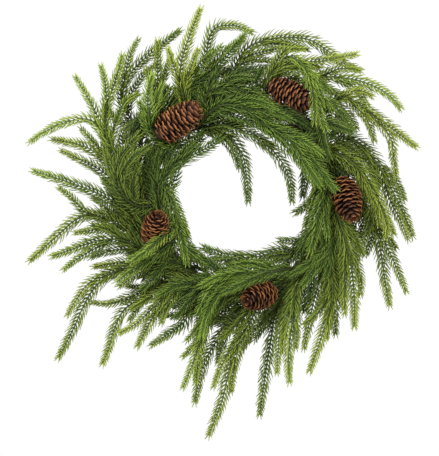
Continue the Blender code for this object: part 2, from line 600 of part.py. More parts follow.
def main():
    for obj in list(bpy.data.objects):
        bpy.data.objects.remove(obj, do_unlink=True)
    wreath = bpy.data.collections.new(NAME)
    bpy.context.scene.collection.children.link(wreath)

    bark = material("vine_bark", (0.075, 0.045, 0.045), 0.85)
    green = material("evergreen", (0.085, 0.17, 0.03), 0.6)
    cone_brown = material("cone_brown", (0.24, 0.09, 0.035), 0.7)
    wire_green = material("florist_wire", (0.05, 0.07, 0.04), 0.5)

    twigs = settle(plan_twigs())
    for number in range(VINE_COUNT):
        build_vine(number, bark, wreath)
    for name in SPRIGS:
        build_sprig(name, [t for t in twigs if t["node"] == name], green, wreath)
    for name, (centre, reach, way, angle) in CONES.items():
        build_cone(name, centre, reach, way, cone_brown, wreath)
        wire = next(t for t in twigs if t["node"] == name + "_wire")
        build_wire(name + "_wire", wire, wire_green, wreath)


main()
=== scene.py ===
# Fresh evergreen wreath: needles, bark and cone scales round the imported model
import json
import math

import bpy
import numpy as np
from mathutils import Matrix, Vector

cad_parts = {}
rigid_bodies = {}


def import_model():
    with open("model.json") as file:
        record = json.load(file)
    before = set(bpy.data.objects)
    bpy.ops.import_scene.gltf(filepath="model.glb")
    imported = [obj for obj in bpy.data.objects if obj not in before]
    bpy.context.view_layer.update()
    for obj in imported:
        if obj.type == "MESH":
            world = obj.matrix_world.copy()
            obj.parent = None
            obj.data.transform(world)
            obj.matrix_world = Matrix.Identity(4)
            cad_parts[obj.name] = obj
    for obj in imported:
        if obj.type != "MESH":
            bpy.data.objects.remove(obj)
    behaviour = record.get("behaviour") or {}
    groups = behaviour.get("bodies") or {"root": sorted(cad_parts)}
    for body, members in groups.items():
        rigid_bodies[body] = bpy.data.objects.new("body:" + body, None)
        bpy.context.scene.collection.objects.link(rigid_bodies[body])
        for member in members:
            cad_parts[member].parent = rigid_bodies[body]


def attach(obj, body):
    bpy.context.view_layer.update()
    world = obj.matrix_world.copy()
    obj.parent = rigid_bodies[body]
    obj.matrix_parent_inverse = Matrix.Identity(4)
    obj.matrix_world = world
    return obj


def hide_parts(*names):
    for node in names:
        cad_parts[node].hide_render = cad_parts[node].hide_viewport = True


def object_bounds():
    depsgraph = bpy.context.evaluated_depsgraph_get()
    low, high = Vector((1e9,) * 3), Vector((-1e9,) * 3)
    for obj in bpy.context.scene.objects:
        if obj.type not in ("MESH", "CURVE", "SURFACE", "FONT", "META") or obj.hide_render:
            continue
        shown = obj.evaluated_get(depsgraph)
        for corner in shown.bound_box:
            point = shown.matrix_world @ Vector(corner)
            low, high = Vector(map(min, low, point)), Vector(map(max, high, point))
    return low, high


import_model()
cadLow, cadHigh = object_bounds()
mm = 0.001
toFront = np.array([0.0, -1.0, 0.0])

# The twisted ring. All plans are in mm from the ring's centre: x right, y back, z up.
ring = {
    "radius": 132.0,           # centreline circle
    "vineRadius": 5.95,
    "helix": 7.4,              # centreline to the middle of each vine
    "turns": 6,
    "vines": 3,
    "hull": 13.35,             # centreline to the outside of the twist
}
ringCentre = Vector((0.0, 0.0, -(ring["radius"] - ring["hull"]))) * mm

# How twigs and wires leave the grooves of the ring
seat = {
    "sprig": 10.1,             # mm from the ring's centreline to the middle of a butt
    "wire": 7.7,
    "pitch": 145.0,            # mm of groove for one radian of the clock angle
    "span": 10.0,              # degrees of groove that one seat takes up
    "search": 16,              # degrees either way in which a free seat is looked for
    "apart": 0.7,              # degrees kept between two seats
    "steps": ((0, 0.0), (8, 0.0), (16, 1.3), (25, 7.4)),    # mm along, and mm risen
    "facing": {"out": 30, "front": 78, "in": 140},
}
twigLook = {
    "stemStep": 30.0,          # mm between the points of a stem, a finger and a wire
    "fingerStep": 34.0,
    "wireStep": 12.0,
    "buttRadius": 2.4,
    "wireRadius": 0.9,
    "stemRadii": ((0, 0.25, 0.6, 1), (2.4, 3.4, 3.2, 1.4)),      # share of the length, and mm
    "fingerRadii": ((0, 0.35, 0.7, 1), (1.9, 3.0, 2.7, 1.2)),
    "risen": 0.4,              # share of the stem at which it reaches its middle depth
    "fan": (10, -8, 6, -10, 8),    # mm by which the fingers of a sprig part, front and back
    "arch": 4,                 # mm by which a finger bows forward
    "fingerReach": 0.6,        # share of the way to the sprig's last depth
    "wireEnd": 9,              # mm of a wire that run straight into its cone
}
cone = {
    "length": 68.0,
    "radius": 22.0,
    "coreHalf": 12.0,          # twigs keep clear of this much of its axis, either way from its middle
    "touch": 0.4,              # mm between a cone and its wire
}

# Each sprig: clock angle of its butt, its way round, the side of the ring it leaves
# from, how far forward its middle and tip reach, its stem, and its fingers (a share
# of the stem, then the points passed).
sprigPlan = {
    "sprig_left_1": (268, 1, "out", 30, 12,
        [(-150, 42), (-177, 58), (-189, 88), (-189, 122), (-180, 152), (-171, 180), (-166, 204)],
        [(0.30, (-213, 108), (-240, 105), (-271, 92), (-301, 72)), (0.38, (-207, 124), (-236, 173)),
         (0.55, (-189, 150), (-198, 188)), (0.42, (-165, 128), (-140, 147)),
         (0.26, (-166, 92), (-141, 110))]),
    "sprig_left_2": (258, 1, "out", 18, 0,
        [(-158, 22), (-184, 45), (-209, 66), (-240, 76), (-272, 82)],
        [(0.36, (-214, 84), (-228, 101)), (0.24, (-205, 42), (-230, 54), (-259, 68)),
         (0.30, (-193, 74), (-190, 96))]),
    "sprig_left_3": (282, 1, "out", 8, 0,
        [(-140, 88), (-163, 120), (-168, 152), (-150, 178), (-118, 207), (-81, 236)],
        [(0.45, (-158, 192), (-142, 225)), (0.36, (-148, 158), (-118, 188)),
         (0.22, (-182, 112), (-196, 132))]),
    "sprig_left_4": (246, 1, "front", 48, 44,
        [(-150, -12), (-169, 12), (-171, 45), (-156, 70), (-138, 91)],
        [(0.25, (-150, 25), (-140, 52)), (0.35, (-185, 45), (-192, 70)), (0.5, (-150, 55), (-125, 72))]),
    "sprig_left_5": (240, 1, "out", 24, 14,
        [(-152, -25), (-182, -4), (-215, 11), (-255, 25), (-297, 38)],
        [(0.22, (-176, 14), (-184, 38)), (0.18, (-178, -28), (-203, -40)), (0.24, (-189, 16), (-197, 32))]),
    "sprig_left_6": (233, 1, "out", 10, 6,
        [(-142, -58), (-168, -42), (-196, -24), (-226, -28), (-258, -54), (-301, -93)],
        [(0.36, (-216, -22), (-233, -4), (-260, 17)), (0.30, (-195, -6), (-212, 2)),
         (0.25, (-200, -44), (-239, -50)), (0.15, (-165, -30), (-147, -25))]),
    "sprig_left_7": (225, 1, "out", 22, 12,
        [(-140, -72), (-170, -60), (-200, -61), (-236, -73), (-271, -85)],
        [(0.50, (-230, -87), (-253, -105)), (0.28, (-190, -76), (-218, -87)),
         (0.24, (-190, -44), (-216, -38))]),
    "sprig_left_8": (217, 1, "front", 34, 14,
        [(-128, -95), (-163, -99), (-195, -115), (-217, -145), (-236, -186), (-259, -230)],
        [(0.32, (-214, -121), (-233, -148), (-246, -170)), (0.22, (-187, -92), (-213, -99)),
         (0.2, (-160, -118), (-176, -128))]),
    "sprig_left_9": (207, 1, "out", 12, 2,
        [(-115, -120), (-140, -142), (-163, -157), (-178, -185), (-187, -214), (-197, -240)],
        [(0.34, (-182, -148), (-216, -147)), (0.18, (-146, -128), (-168, -124)),
         (0.3, (-150, -160), (-160, -178))]),
    "sprig_foot_1": (198, 1, "front", 40, 20,
        [(-92, -120), (-114, -148), (-132, -180), (-149, -213)],
        [(0.45, (-147, -175), (-176, -192)), (0.25, (-130, -140), (-160, -158)),
         (0.3, (-106, -155), (-114, -182))]),
    "sprig_foot_2": (188, 1, "out", 14, 4,
        [(-62, -140), (-72, -166), (-98, -187), (-132, -211)],
        [(0.3, (-88, -166), (-112, -166)), (0.2, (-60, -168), (-62, -196))]),
    "sprig_foot_3": (176, 1, "front", 30, 20,
        [(-33, -145), (-49, -175), (-58, -205), (-62, -235), (-65, -263)],
        [(0.3, (-64, -184), (-82, -204)), (0.42, (-70, -213), (-87, -227)),
         (0.5, (-72, -240), (-85, -271))]),
    "sprig_foot_4": (166, 1, "out", 12, 0,
        [(0, -150), (-20, -180), (-40, -207), (-54, -235), (-62, -265), (-67, -294)],
        [(0.22, (-30, -170), (-56, -176)), (0.35, (-30, -212), (-36, -238)),
         (0.15, (-5, -185), (-12, -208))]),
    "sprig_foot_5": (156, 1, "front", 26, 14,
        [(24, -150), (10, -184), (-8, -213), (-18, -245), (-28, -285), (-49, -339)],
        [(0.28, (-22, -225), (-33, -250), (-41, -271)), (0.42, (-12, -250), (-15, -279)),
         (0.15, (-8, -184), (-33, -203))]),
    "sprig_foot_6": (146, 1, "out", 14, 4,
        [(52, -145), (45, -175), (39, -205), (33, -245), (28, -280), (24, -311)],
        [(0.12, (30, -170), (12, -192), (-2, -218)), (0.18, (26, -186), (14, -206)),
         (0.2, (56, -180), (62, -205))]),
    "sprig_foot_7": (136, 1, "front", 36, 24,
        [(74, -130), (70, -160), (67, -192), (64, -226), (66, -264)],
        [(0.15, (54, -180), (50, -215), (48, -251)), (0.3, (77, -185), (76, -217)),
         (0.3, (56, -190), (55, -222))]),
    "sprig_right_9": (114, 1, "front", 28, 16,
        [(118, -92), (126, -125), (120, -162), (108, -202), (92, -249)],
        [(0.38, (100, -166), (80, -181)), (0.5, (118, -185), (117, -203)),
         (0.12, (105, -128), (97, -158), (91, -190), (85, -218)), (0.25, (112, -140), (107, -162))]),
    "sprig_right_8": (104, 1, "out", 10, 0,
        [(128, -72), (131, -108), (128, -150), (131, -198)],
        [(0.28, (118, -122), (112, -150)), (0.35, (138, -128), (138, -158)),
         (0.5, (121, -160), (121, -186))]),
    "sprig_right_7": (92, 1, "front", 40, 24,
        [(137, -38), (147, -74), (153, -110), (156, -150), (156, -187)],
        [(0.28, (143, -115), (141, -142), (142, -169)), (0.3, (163, -105), (165, -142)),
         (0.15, (160, -62), (170, -86))]),
    "sprig_right_6": (76, 1, "out", 14, 4,
        [(158, 8), (177, -18), (188, -50), (195, -85), (200, -120), (208, -158)],
        [(0.3, (205, -76), (218, -106), (231, -138)), (0.33, (204, -56), (219, -76)),
         (0.3, (180, -66), (171, -86)), (0.15, (170, -32), (164, -62))]),
    "sprig_right_5": (60, 1, "front", 44, 30,
        [(138, 57), (162, 38), (180, 10), (194, -18), (205, -40), (213, -58)],
        [(0.35, (186, -12), (190, -44)), (0.2, (165, 12), (172, -14)), (0.5, (198, -30), (199, -62))]),
    "sprig_right_4": (47, 1, "out", 14, 4,
        [(138, 84), (170, 70), (192, 40), (210, 8), (227, -26), (241, -61)],
        [(0.48, (206, -5), (222, -36), (234, -66)), (0.42, (216, 20), (230, -8)),
         (0.25, (182, 35), (190, 4))]),
    "sprig_right_3": (33, 1, "out", 26, 10,
        [(108, 124), (140, 139), (170, 123), (198, 103), (225, 83), (248, 66)],
        [(0.45, (203, 88), (210, 55), (215, 22)), (0.22, (148, 116), (163, 90)),
         (0.32, (176, 104), (186, 72)), (0.25, (165, 148), (185, 137))]),
    "sprig_right_2": (14, 1, "out", 12, 4,
        [(80, 150), (110, 167), (145, 166), (180, 157), (205, 143), (226, 120)],
        [(0.28, (138, 180), (171, 176)), (0.25, (125, 150), (152, 134)), (0.42, (162, 150), (180, 124))]),
    "sprig_right_1": (356, 1, "front", 30, 12,
        [(34, 163), (64, 186), (98, 188), (132, 193), (166, 201)],
        [(0.25, (62, 203), (92, 203)), (0.35, (92, 174), (116, 168))]),
    "sprig_crown_1": (338, 1, "out", 12, 2,
        [(-16, 160), (-6, 190), (16, 214), (50, 221), (85, 222), (112, 210), (140, 188), (171, 176)],
        [(0.25, (35, 204), (66, 209)), (0.4, (74, 211), (99, 205)), (0.2, (20, 192), (45, 190))]),
    "sprig_crown_2": (328, 1, "out", 6, 0,
        [(-47, 150), (-50, 185), (-47, 220), (-33, 240), (-12, 240), (20, 228)],
        [(0.2, (-38, 190), (-16, 208), (6, 222)), (0.1, (-60, 165), (-70, 188))]),
    "sprig_crown_3": (311, 1, "front", 24, 10,
        [(-85, 130), (-90, 160), (-87, 190), (-76, 222), (-57, 269)],
        [(0.3, (-73, 187), (-62, 212)), (0.35, (-99, 190), (-105, 212))]),
    "sprig_crown_4": (306, 1, "out", 14, 4,
        [(-104, 108), (-112, 140), (-113, 178), (-115, 223)],
        [(0.45, (-103, 175), (-96, 202)), (0.35, (-123, 163), (-133, 184))]),
    "sprig_face_1": (292, 1, "front", 50, 44,
        [(-123, 78), (-130, 108), (-132, 140), (-124, 171)],
        [(0.2, (-140, 110), (-147, 135)), (0.4, (-119, 135), (-110, 158))]),
    "sprig_face_2": (298, 1, "front", 22, 20,
        [(-110, 112), (-96, 137), (-74, 152), (-46, 171), (-20, 197), (8, 232)],
        [(0.18, (-66, 141), (-42, 132)), (0.24, (-62, 161), (-30, 176)),
         (0.42, (-50, 192), (-25, 213)), (0.35, (-72, 172), (-62, 188))]),
    "sprig_face_3": (322, 1, "front", 34, 46,
        [(-52, 138), (-30, 152), (0, 150), (30, 135), (60, 111)],
        [(0.25, (-12, 166), (18, 166)), (0.35, (5, 135), (30, 115))]),
    "sprig_face_4": (326, 1, "front", 44, 54,
        [(-46, 116), (-20, 128), (15, 119), (50, 99), (87, 79)],
        [(0.25, (10, 134), (48, 118)), (0.25, (-5, 112), (30, 96), (60, 76)), (0.5, (50, 115), (74, 103))]),
    "sprig_face_5": (350, 1, "front", 58, 58,
        [(18, 112), (50, 88), (82, 62), (110, 32), (136, 0)],
        [(0.35, (90, 72), (114, 55)), (0.3, (66, 62), (88, 38), (103, 12)), (0.55, (96, 32), (112, 8))]),
    "sprig_face_6": (358, 1, "front", 40, 60,
        [(36, 160), (62, 190), (87, 175), (100, 145), (107, 112), (117, 85)],
        [(0.3, (84, 192), (104, 178)), (0.55, (112, 135), (128, 112)), (0.6, (98, 118), (97, 92))]),
    "sprig_face_7": (66, 1, "front", 46, 40,
        [(120, 14), (107, -12), (102, -45), (92, -86)],
        [(0.3, (114, -35), (118, -62)), (0.35, (92, -40), (84, -66))]),
    "sprig_face_8": (82, 1, "front", 28, 34,
        [(130, -42), (126, -72), (106, -96), (82, -126)],
        [(0.3, (112, -75), (95, -92)), (0.4, (122, -100), (112, -122)), (0.55, (88, -98), (62, -112))]),
    "sprig_face_9": (136, 1, "front", 40, 40,
        [(50, -98), (15, -104), (-25, -113), (-48, -137), (-63, -166)],
        [(0.25, (2, -120), (-31, -133), (-50, -165), (-57, -200)), (0.15, (12, -90), (-20, -92)),
         (0.4, (-42, -112), (-62, -125))]),
    "sprig_face_10": (162, 1, "front", 26, 24,
        [(-12, -116), (-50, -120), (-90, -138), (-128, -169)],
        [(0.3, (-85, -121), (-122, -141)), (0.35, (-76, -145), (-98, -172)),
         (0.15, (-30, -148), (-58, -170))]),
    "sprig_face_11": (192, 1, "front", 20, 30,
        [(-74, -96), (-98, -90), (-118, -104), (-142, -132)],
        [(0.3, (-120, -85), (-146, -88)), (0.2, (-78, -80), (-95, -68))]),
    "sprig_inner_1": (312, 1, "in", 26, 22,
        [(-40, 104), (-10, 95), (20, 84), (46, 66)],
        [(0.3, (-8, 75), (4, 36), (8, -12)), (0.24, (-14, 68), (-4, 38)),
         (0.75, (58, 48), (66, 18), (69, -12)), (0.15, (-35, 90), (-10, 84))]),
    "sprig_inner_2": (18, 1, "in", 14, 8,
        [(78, 88), (88, 60), (88, 28), (84, -6)],
        [(0.3, (98, 52), (102, 25))]),
    "sprig_inner_3": (50, 1, "in", 24, 26,
        [(110, 38), (108, 14), (95, -8), (70, -25)],
        [(0.45, (95, -22), (87, -47))]),
    "sprig_inner_4": (108, 1, "in", 22, 16,
        [(88, -76), (60, -73), (30, -82), (-2, -85), (-32, -80), (-60, -68)],
        [(0.08, (72, -62), (46, -60)), (0.35, (5, -98), (-28, -96)), (0.6, (-35, -92), (-62, -90))]),
    "sprig_inner_5": (292, -1, "in", 30, 50,
        [(-106, 14), (-96, -18), (-91, -44), (-116, -66), (-150, -91), (-183, -117)],
        [(0.32, (-82, -70), (-77, -96)), (0.16, (-84, -30), (-72, -62)), (0.6, (-145, -75), (-168, -82))]),
    "sprig_inner_6": (240, 1, "in", 20, 16,
        [(-112, 6), (-101, 34), (-76, 53), (-47, 68), (-22, 88)],
        [(0.2, (-90, 58), (-66, 80)), (0.4, (-72, 72), (-48, 94)), (0.12, (-119, 36), (-113, 68))]),
}

# Each cone: its middle, its forward reach, the way its tip points (right, up,
# forward), and the clock angle of its wire's seat
conePlan = {
    "cone_1": ((-87, 106), 42, (0.80, 0.56, 0.20), 286),
    "cone_2": ((67, 140), 38, (0.72, -0.62, 0.30), 354),
    "cone_3": ((147, -6), 40, (0.14, -0.93, 0.34), 58),
    "cone_4": ((25, -136), 52, (-0.72, -0.12, 0.68), 138),
    "cone_5": ((-123, -41), 48, (0.06, 0.80, 0.60), 220),
}


def ringPoint(theta, rho, phi):
    out = np.array([math.sin(theta), 0.0, math.cos(theta)])
    return ring["radius"] * out + rho * (math.cos(phi) * out + math.sin(phi) * toFront)


def vineAngle(theta, vine):
    return ring["turns"] * theta + math.radians(60 + 120 * vine)


def grooveAngle(theta, groove):
    return ring["turns"] * theta + math.radians(120 * groove)


def runLengths(points):
    return np.r_[0, np.cumsum(np.linalg.norm(np.diff(points, axis=0), axis=1))]


def atRuns(points, run, where):
    return np.stack([np.interp(where, run, points[:, k]) for k in range(3)], -1)


def smoothPath(points, step=None, count=None):
    # even points on a smooth curve through the given ones
    p = np.array(points, float)
    p = np.vstack([2 * p[0] - p[1], p, 2 * p[-1] - p[-2]])
    dense = []
    for i in range(1, len(p) - 2):
        a, b, c, d = p[i - 1:i + 3]
        for t in np.linspace(0, 1, 12, endpoint=False):
            dense.append(0.5 * (2 * b + (c - a) * t + (2 * a - 5 * b + 4 * c - d) * t * t
                                + (3 * b - a - 3 * c + d) * t ** 3))
    dense = np.array(dense + [p[-2]])
    run = runLengths(dense)
    n = count or max(2, int(round(run[-1] / step)) + 1)
    return atRuns(dense, run, np.linspace(0, run[-1], n))


def chooseSeats(wanted):
    # the nearest free stretch of groove that faces each butt's side: a seat costs more the
    # further it faces away and the further it shifts, and most where it meets another
    seats = {}
    for name in list(wanted) * 4:
        angle, turn, facing = wanted[name]
        taken = [other[3:] for key, other in seats.items() if key != name]
        best = None
        for shift in range(-seat["search"], seat["search"] + 1, 2):
            start = angle + shift
            low, high = sorted((start, start + turn * seat["span"]))
            for groove in range(ring["vines"]):
                phi = math.degrees(grooveAngle(math.radians(start + turn * 7), groove))
                off = abs((phi - facing + 180) % 360 - 180)
                low1, high1 = low - seat["apart"], high + seat["apart"]
                clash = sum(g == groove and any(low1 + k < b and high1 + k > a for k in (-360, 0, 360))
                            for a, b, g in taken)
                cost = (off / 25) ** 1.5 + abs(shift) / 8 + clash * 20
                if best is None or cost < best[0] - 1e-9:
                    best = (cost, math.radians(start), groove, low, high, groove)
        seats[name] = best
    return {name: best[1:3] for name, best in seats.items()}


def buttPoints(theta, groove, turn, rho):
    points = []
    for run, rise in seat["steps"]:
        t = theta + turn * run / seat["pitch"]
        points.append(ringPoint(t, rho + rise, grooveAngle(t, groove)))
    return points


def coneAxis(way):
    right, up, forward = way
    axis = np.array([right, -forward, up], float)
    return axis / np.linalg.norm(axis)


def planTwigs():
    # every stem, finger and wire as a row of points, before they ease apart
    facing, risen = seat["facing"], twigLook["risen"]
    wanted = {n + "_wire": (row[3], 1, facing["front"]) for n, row in conePlan.items()}
    wanted.update({n: (row[0], row[1], facing[row[2]]) for n, row in sprigPlan.items()})
    seats = chooseSeats(wanted)
    twigs = []
    for name, (angle, turn, side, middle, tip, stem, fingers) in sprigPlan.items():
        butt = buttPoints(*seats[name], turn, seat["sprig"])
        free = []
        for i, (x, z) in enumerate(stem):
            f = (i + 1) / len(stem)
            reach = -butt[-1][1]
            if f < risen:
                reach += (middle - reach) * f / risen
            else:
                reach = middle + (tip - middle) * ((f - risen) / 0.6) ** 1.5
            free.append((x, -reach, z))
        path = np.vstack([butt, smoothPath([butt[-1]] + free, twigLook["stemStep"])[1:]])
        first = len(butt) - 1
        parent = len(twigs)
        twigs.append({"node": name, "points": path, "fixed": 3, "parent": None, "first": first})
        run = runLengths(path[first:])
        for j, (share, *way) in enumerate(fingers):
            base = atRuns(path[first:], run, share * run[-1])
            reach = -base[1]
            end = reach + (tip - reach) * twigLook["fingerReach"] + twigLook["fan"][j]
            points = [base]
            for q, (x, z) in enumerate(way):
                w = (q + 1) / len(way)
                forward = reach + (end - reach) * w + twigLook["arch"] * math.sin(math.pi * w)
                points.append((x, -forward, z))
            finger = smoothPath(points, twigLook["fingerStep"])
            if len(finger) < 3:
                finger = smoothPath(points, count=3)
            twigs.append({"node": name, "points": finger, "fixed": 0, "parent": parent,
                          "share": share})
    for name, ((x, z), reach, way, angle) in conePlan.items():
        butt = buttPoints(*seats[name + "_wire"], 1, seat["wire"])
        axis = coneAxis(way)
        end = np.array([x, -reach, z]) - axis * (cone["length"] / 2 + cone["touch"])
        path = smoothPath([butt[-1], end - axis * twigLook["wireEnd"]], twigLook["wireStep"])
        twigs.append({"node": name + "_wire", "points": np.vstack([butt, path[1:], end]), "fixed": 3,
                      "parent": None, "first": len(butt) - 1, "heldEnd": True})
    return twigs


def twigRadii(twig):
    n = len(twig["points"])
    if twig.get("heldEnd"):
        return np.full(n, twigLook["wireRadius"])
    if twig["parent"] is not None:
        return np.interp(np.linspace(0, 1, n), *twigLook["fingerRadii"])
    radii = np.full(n, twigLook["buttRadius"])
    radii[twig["first"]:] = np.interp(np.linspace(0, 1, n - twig["first"]), *twigLook["stemRadii"])
    return radii


def nearestPlaces(p, q, r, s):
    # where segments p-q and r-s come nearest, and the step between them
    d, e, g = q - p, s - r, p - r
    a, b, c = (d * d).sum(1), (d * e).sum(1), (d * g).sum(1)
    h, f = np.maximum((e * e).sum(1), 1e-9), (e * g).sum(1)
    den = a * h - b * b
    u = np.where(den > 1e-9, np.clip((b * f - c * h) / np.where(den > 1e-9, den, 1), 0, 1), 0.0)
    v = (b * u + f) / h
    w = np.clip(v, 0, 1)
    u = np.where(v != w, np.clip((w * b - c) / np.maximum(a, 1e-9), 0, 1), u)
    return u, w, (p + d * u[:, None]) - (r + e * w[:, None])


settle = {
    "rounds": 340,
    "gap": 0.8,                # mm kept between sprigs
    "ringGap": 1.4,
    "coneGap": 1.2,
    "push": 1.1,
    "ringPush": 0.6,
    "even": 0.35,              # how much each round evens out a twig
    "lateEven": 0.06,          # the same in the last rounds
    "lateRounds": 80,
    "pull": (0.03, 0.012, 0.03),   # share of the way back to the plan: right, back, up
    "pullUntil": 100,          # rounds before the end at which that stops
}


def settleTwigs(twigs):
    # ease the twigs apart, round after round, pushing them away from other sprigs, the ring and the cones
    rounds, hull = settle["rounds"], ring["hull"]
    start = np.cumsum([0] + [len(t["points"]) for t in twigs])
    rest = np.vstack([t["points"] for t in twigs])
    pos = rest.copy()
    rad = np.concatenate([twigRadii(t) for t in twigs])
    nodes = sorted({t["node"] for t in twigs})
    owner = np.concatenate([np.full(len(t["points"]), nodes.index(t["node"])) for t in twigs])
    free = np.ones(len(pos))
    for i, t in enumerate(twigs):
        free[start[i]:start[i] + t["fixed"]] = 0
        if t.get("heldEnd"):
            free[start[i + 1] - 2:start[i + 1]] = 0
    a = np.concatenate([np.arange(start[i], start[i + 1] - 1) for i in range(len(twigs))])
    b = a + 1
    segRad = np.maximum(rad[a], rad[b])
    wire = np.concatenate([np.full(len(t["points"]), bool(t.get("heldEnd"))) for t in twigs])[a]
    inner = np.setdiff1d(np.arange(len(pos)), np.r_[start[:-1], start[1:] - 1])
    tips = start[1:] - 1
    cones = []
    for (x, z), reach, way, angle in conePlan.values():
        axis = coneAxis(way)
        middle = np.array([x, -reach, z], float)
        cones.append((middle - axis * cone["coreHalf"], middle + axis * cone["coreHalf"]))

    def clearRing(p, limit):
        out = p * np.array([1, 0, 1])
        out /= np.linalg.norm(out, axis=1)[:, None]
        away = p - out * ring["radius"]
        far = np.linalg.norm(away, axis=1)
        return away / far[:, None] * np.maximum(limit - far, 0)[:, None]

    for step in range(rounds):
        # every tenth round, find which stretches of different sprigs are near each other
        if step % 10 == 0:
            low = np.minimum(pos[a], pos[b]) - segRad[:, None] - 4
            high = np.maximum(pos[a], pos[b]) + segRad[:, None] + 4
            i, j = np.triu_indices(len(a), 1)
            near = owner[a][i] != owner[a][j]
            near &= (low[i] <= high[j]).all(1) & (high[i] >= low[j]).all(1)
            i, j = i[near], j[near]
        # those that are too near push each other apart
        u, v, gap = nearestPlaces(pos[a[i]], pos[b[i]], pos[a[j]], pos[b[j]])
        far = np.linalg.norm(gap, axis=1)
        need = segRad[i] + segRad[j] + settle["gap"]
        hit = far < need
        push = gap[hit] / np.maximum(far[hit], 1e-6)[:, None]
        flat = far[hit] < 0.5
        side = np.where(rest[a[i[hit]], 1] <= rest[a[j[hit]], 1], -1.0, 1.0)[flat]
        push[flat] = np.stack([0 * side, side, 0 * side], 1)
        push *= ((need - far)[hit] * 0.5)[:, None]
        shift, count = np.zeros_like(pos), np.zeros(len(pos))
        for which, share, sign in ((a[i], 1 - u, 1), (b[i], u, 1), (a[j], 1 - v, -1), (b[j], v, -1)):
            np.add.at(shift, which[hit], sign * push * np.maximum(share[hit], 0.3)[:, None])
            np.add.at(count, which[hit], 1.0)
        pos += shift / np.maximum(np.sqrt(count), 1)[:, None] * free[:, None] * settle["push"]
        # the ring and the cones push them away
        loose = free > 0.5
        pos[loose] += clearRing(pos[loose], (hull + rad + settle["ringGap"])[loose]) * settle["ringPush"]
        both = loose[a] & loose[b]
        push = clearRing((pos[a] + pos[b])[both] / 2,
                         (hull + segRad + settle["ringGap"])[both]) * settle["ringPush"]
        np.add.at(pos, a[both], push)
        np.add.at(pos, b[both], push)
        for end1, end2 in cones:
            u, v, gap = nearestPlaces(pos[a], pos[b], *(np.tile(end, (len(a), 1)) for end in (end1, end2)))
            far = np.linalg.norm(gap, axis=1)
            need = cone["radius"] + segRad + settle["coneGap"]
            hit = (far < need) & ~wire
            push = gap[hit] * (need / far - 1)[hit][:, None]
            np.add.at(pos, a[hit], push * (np.maximum(1 - u[hit], 0.3) * free[a[hit]])[:, None])
            np.add.at(pos, b[hit], push * (np.maximum(u[hit], 0.3) * free[b[hit]])[:, None])
        pos[:, 1] = np.minimum(pos[:, 1], hull - rad)      # the back stays flat
        # each twig evens out, and in all but the last rounds drifts back towards its plan
        moved = pos - rest
        even = moved.copy()
        even[inner] = 0.5 * moved[inner] + 0.25 * (moved[inner - 1] + moved[inner + 1])
        even[tips] = 0.6 * moved[tips] + 0.4 * moved[tips - 1]
        evenBy = settle["even"] if step < rounds - settle["lateRounds"] else settle["lateEven"]
        pos += (even - moved) * evenBy * free[:, None]
        if step < rounds - settle["pullUntil"]:
            pos -= (pos - rest) * np.array(settle["pull"]) * free[:, None]
        # fingers stay on their stems
        for k, t in enumerate(twigs):
            if t["parent"] is not None:
                low = start[t["parent"]] + twigs[t["parent"]]["first"]
                high = start[t["parent"] + 1]
                run = runLengths(rest[low:high])
                pos[start[k]] = atRuns(pos[low:high], run, t["share"] * run[-1])
    for k, t in enumerate(twigs):
        t["points"] = pos[start[k]:start[k + 1]]
        t["radii"] = rad[start[k]:start[k + 1]]
    return twigs


def unit(v):
    return v / np.maximum(np.linalg.norm(v, axis=-1, keepdims=True), 1e-9)


def tangentsOf(points):
    return unit(np.gradient(points, axis=0))


def addObject(name, data):
    made = bpy.data.objects.new(name, data)
    bpy.context.scene.collection.objects.link(made)
    return made


def makePiece(name, sheets, materials, node):
    # one mesh from several sheets of points (mm), faces, corner maps and shade numbers
    points, shade, loops, sizes, uv, slots = [], [], [], [], [], []
    count = 0
    for sheet in sheets:
        points.append(sheet["points"])
        shade.append(sheet["shade"])
        for faces, corners in sheet["faces"]:
            loops.append((faces + count).ravel())
            sizes.append(np.full(len(faces), faces.shape[1]))
            uv.append(corners.reshape(-1, 2))
            slots.append(np.full(len(faces), sheet["slot"]))
        count += len(sheet["points"])
    points, loops, sizes = np.vstack(points) * mm, np.concatenate(loops), np.concatenate(sizes)
    mesh = bpy.data.meshes.new(name)
    mesh.vertices.add(len(points))
    mesh.vertices.foreach_set("co", (points + np.array(ringCentre)).ravel())
    mesh.loops.add(len(loops))
    mesh.loops.foreach_set("vertex_index", loops.astype(np.int32))
    mesh.polygons.add(len(sizes))
    mesh.polygons.foreach_set("loop_start", (np.cumsum(sizes) - sizes).astype(np.int32))
    mesh.polygons.foreach_set("material_index", np.concatenate(slots).astype(np.int32))
    mesh.update(calc_edges=True)
    mesh.uv_layers.new(name="OFBake").uv.foreach_set("vector", np.vstack(uv).astype(np.float32).ravel())
    colour = mesh.color_attributes.new("shadeNumbers", "FLOAT_COLOR", "POINT")
    data = np.hstack([np.vstack(shade), np.ones((len(points), 1))])
    colour.data.foreach_set("color", data.astype(np.float32).ravel())
    mesh.shade_smooth()
    for material in materials:
        mesh.materials.append(material)
    piece = addObject(name, mesh)
    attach(piece, "root")
    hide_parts(node)
    return piece


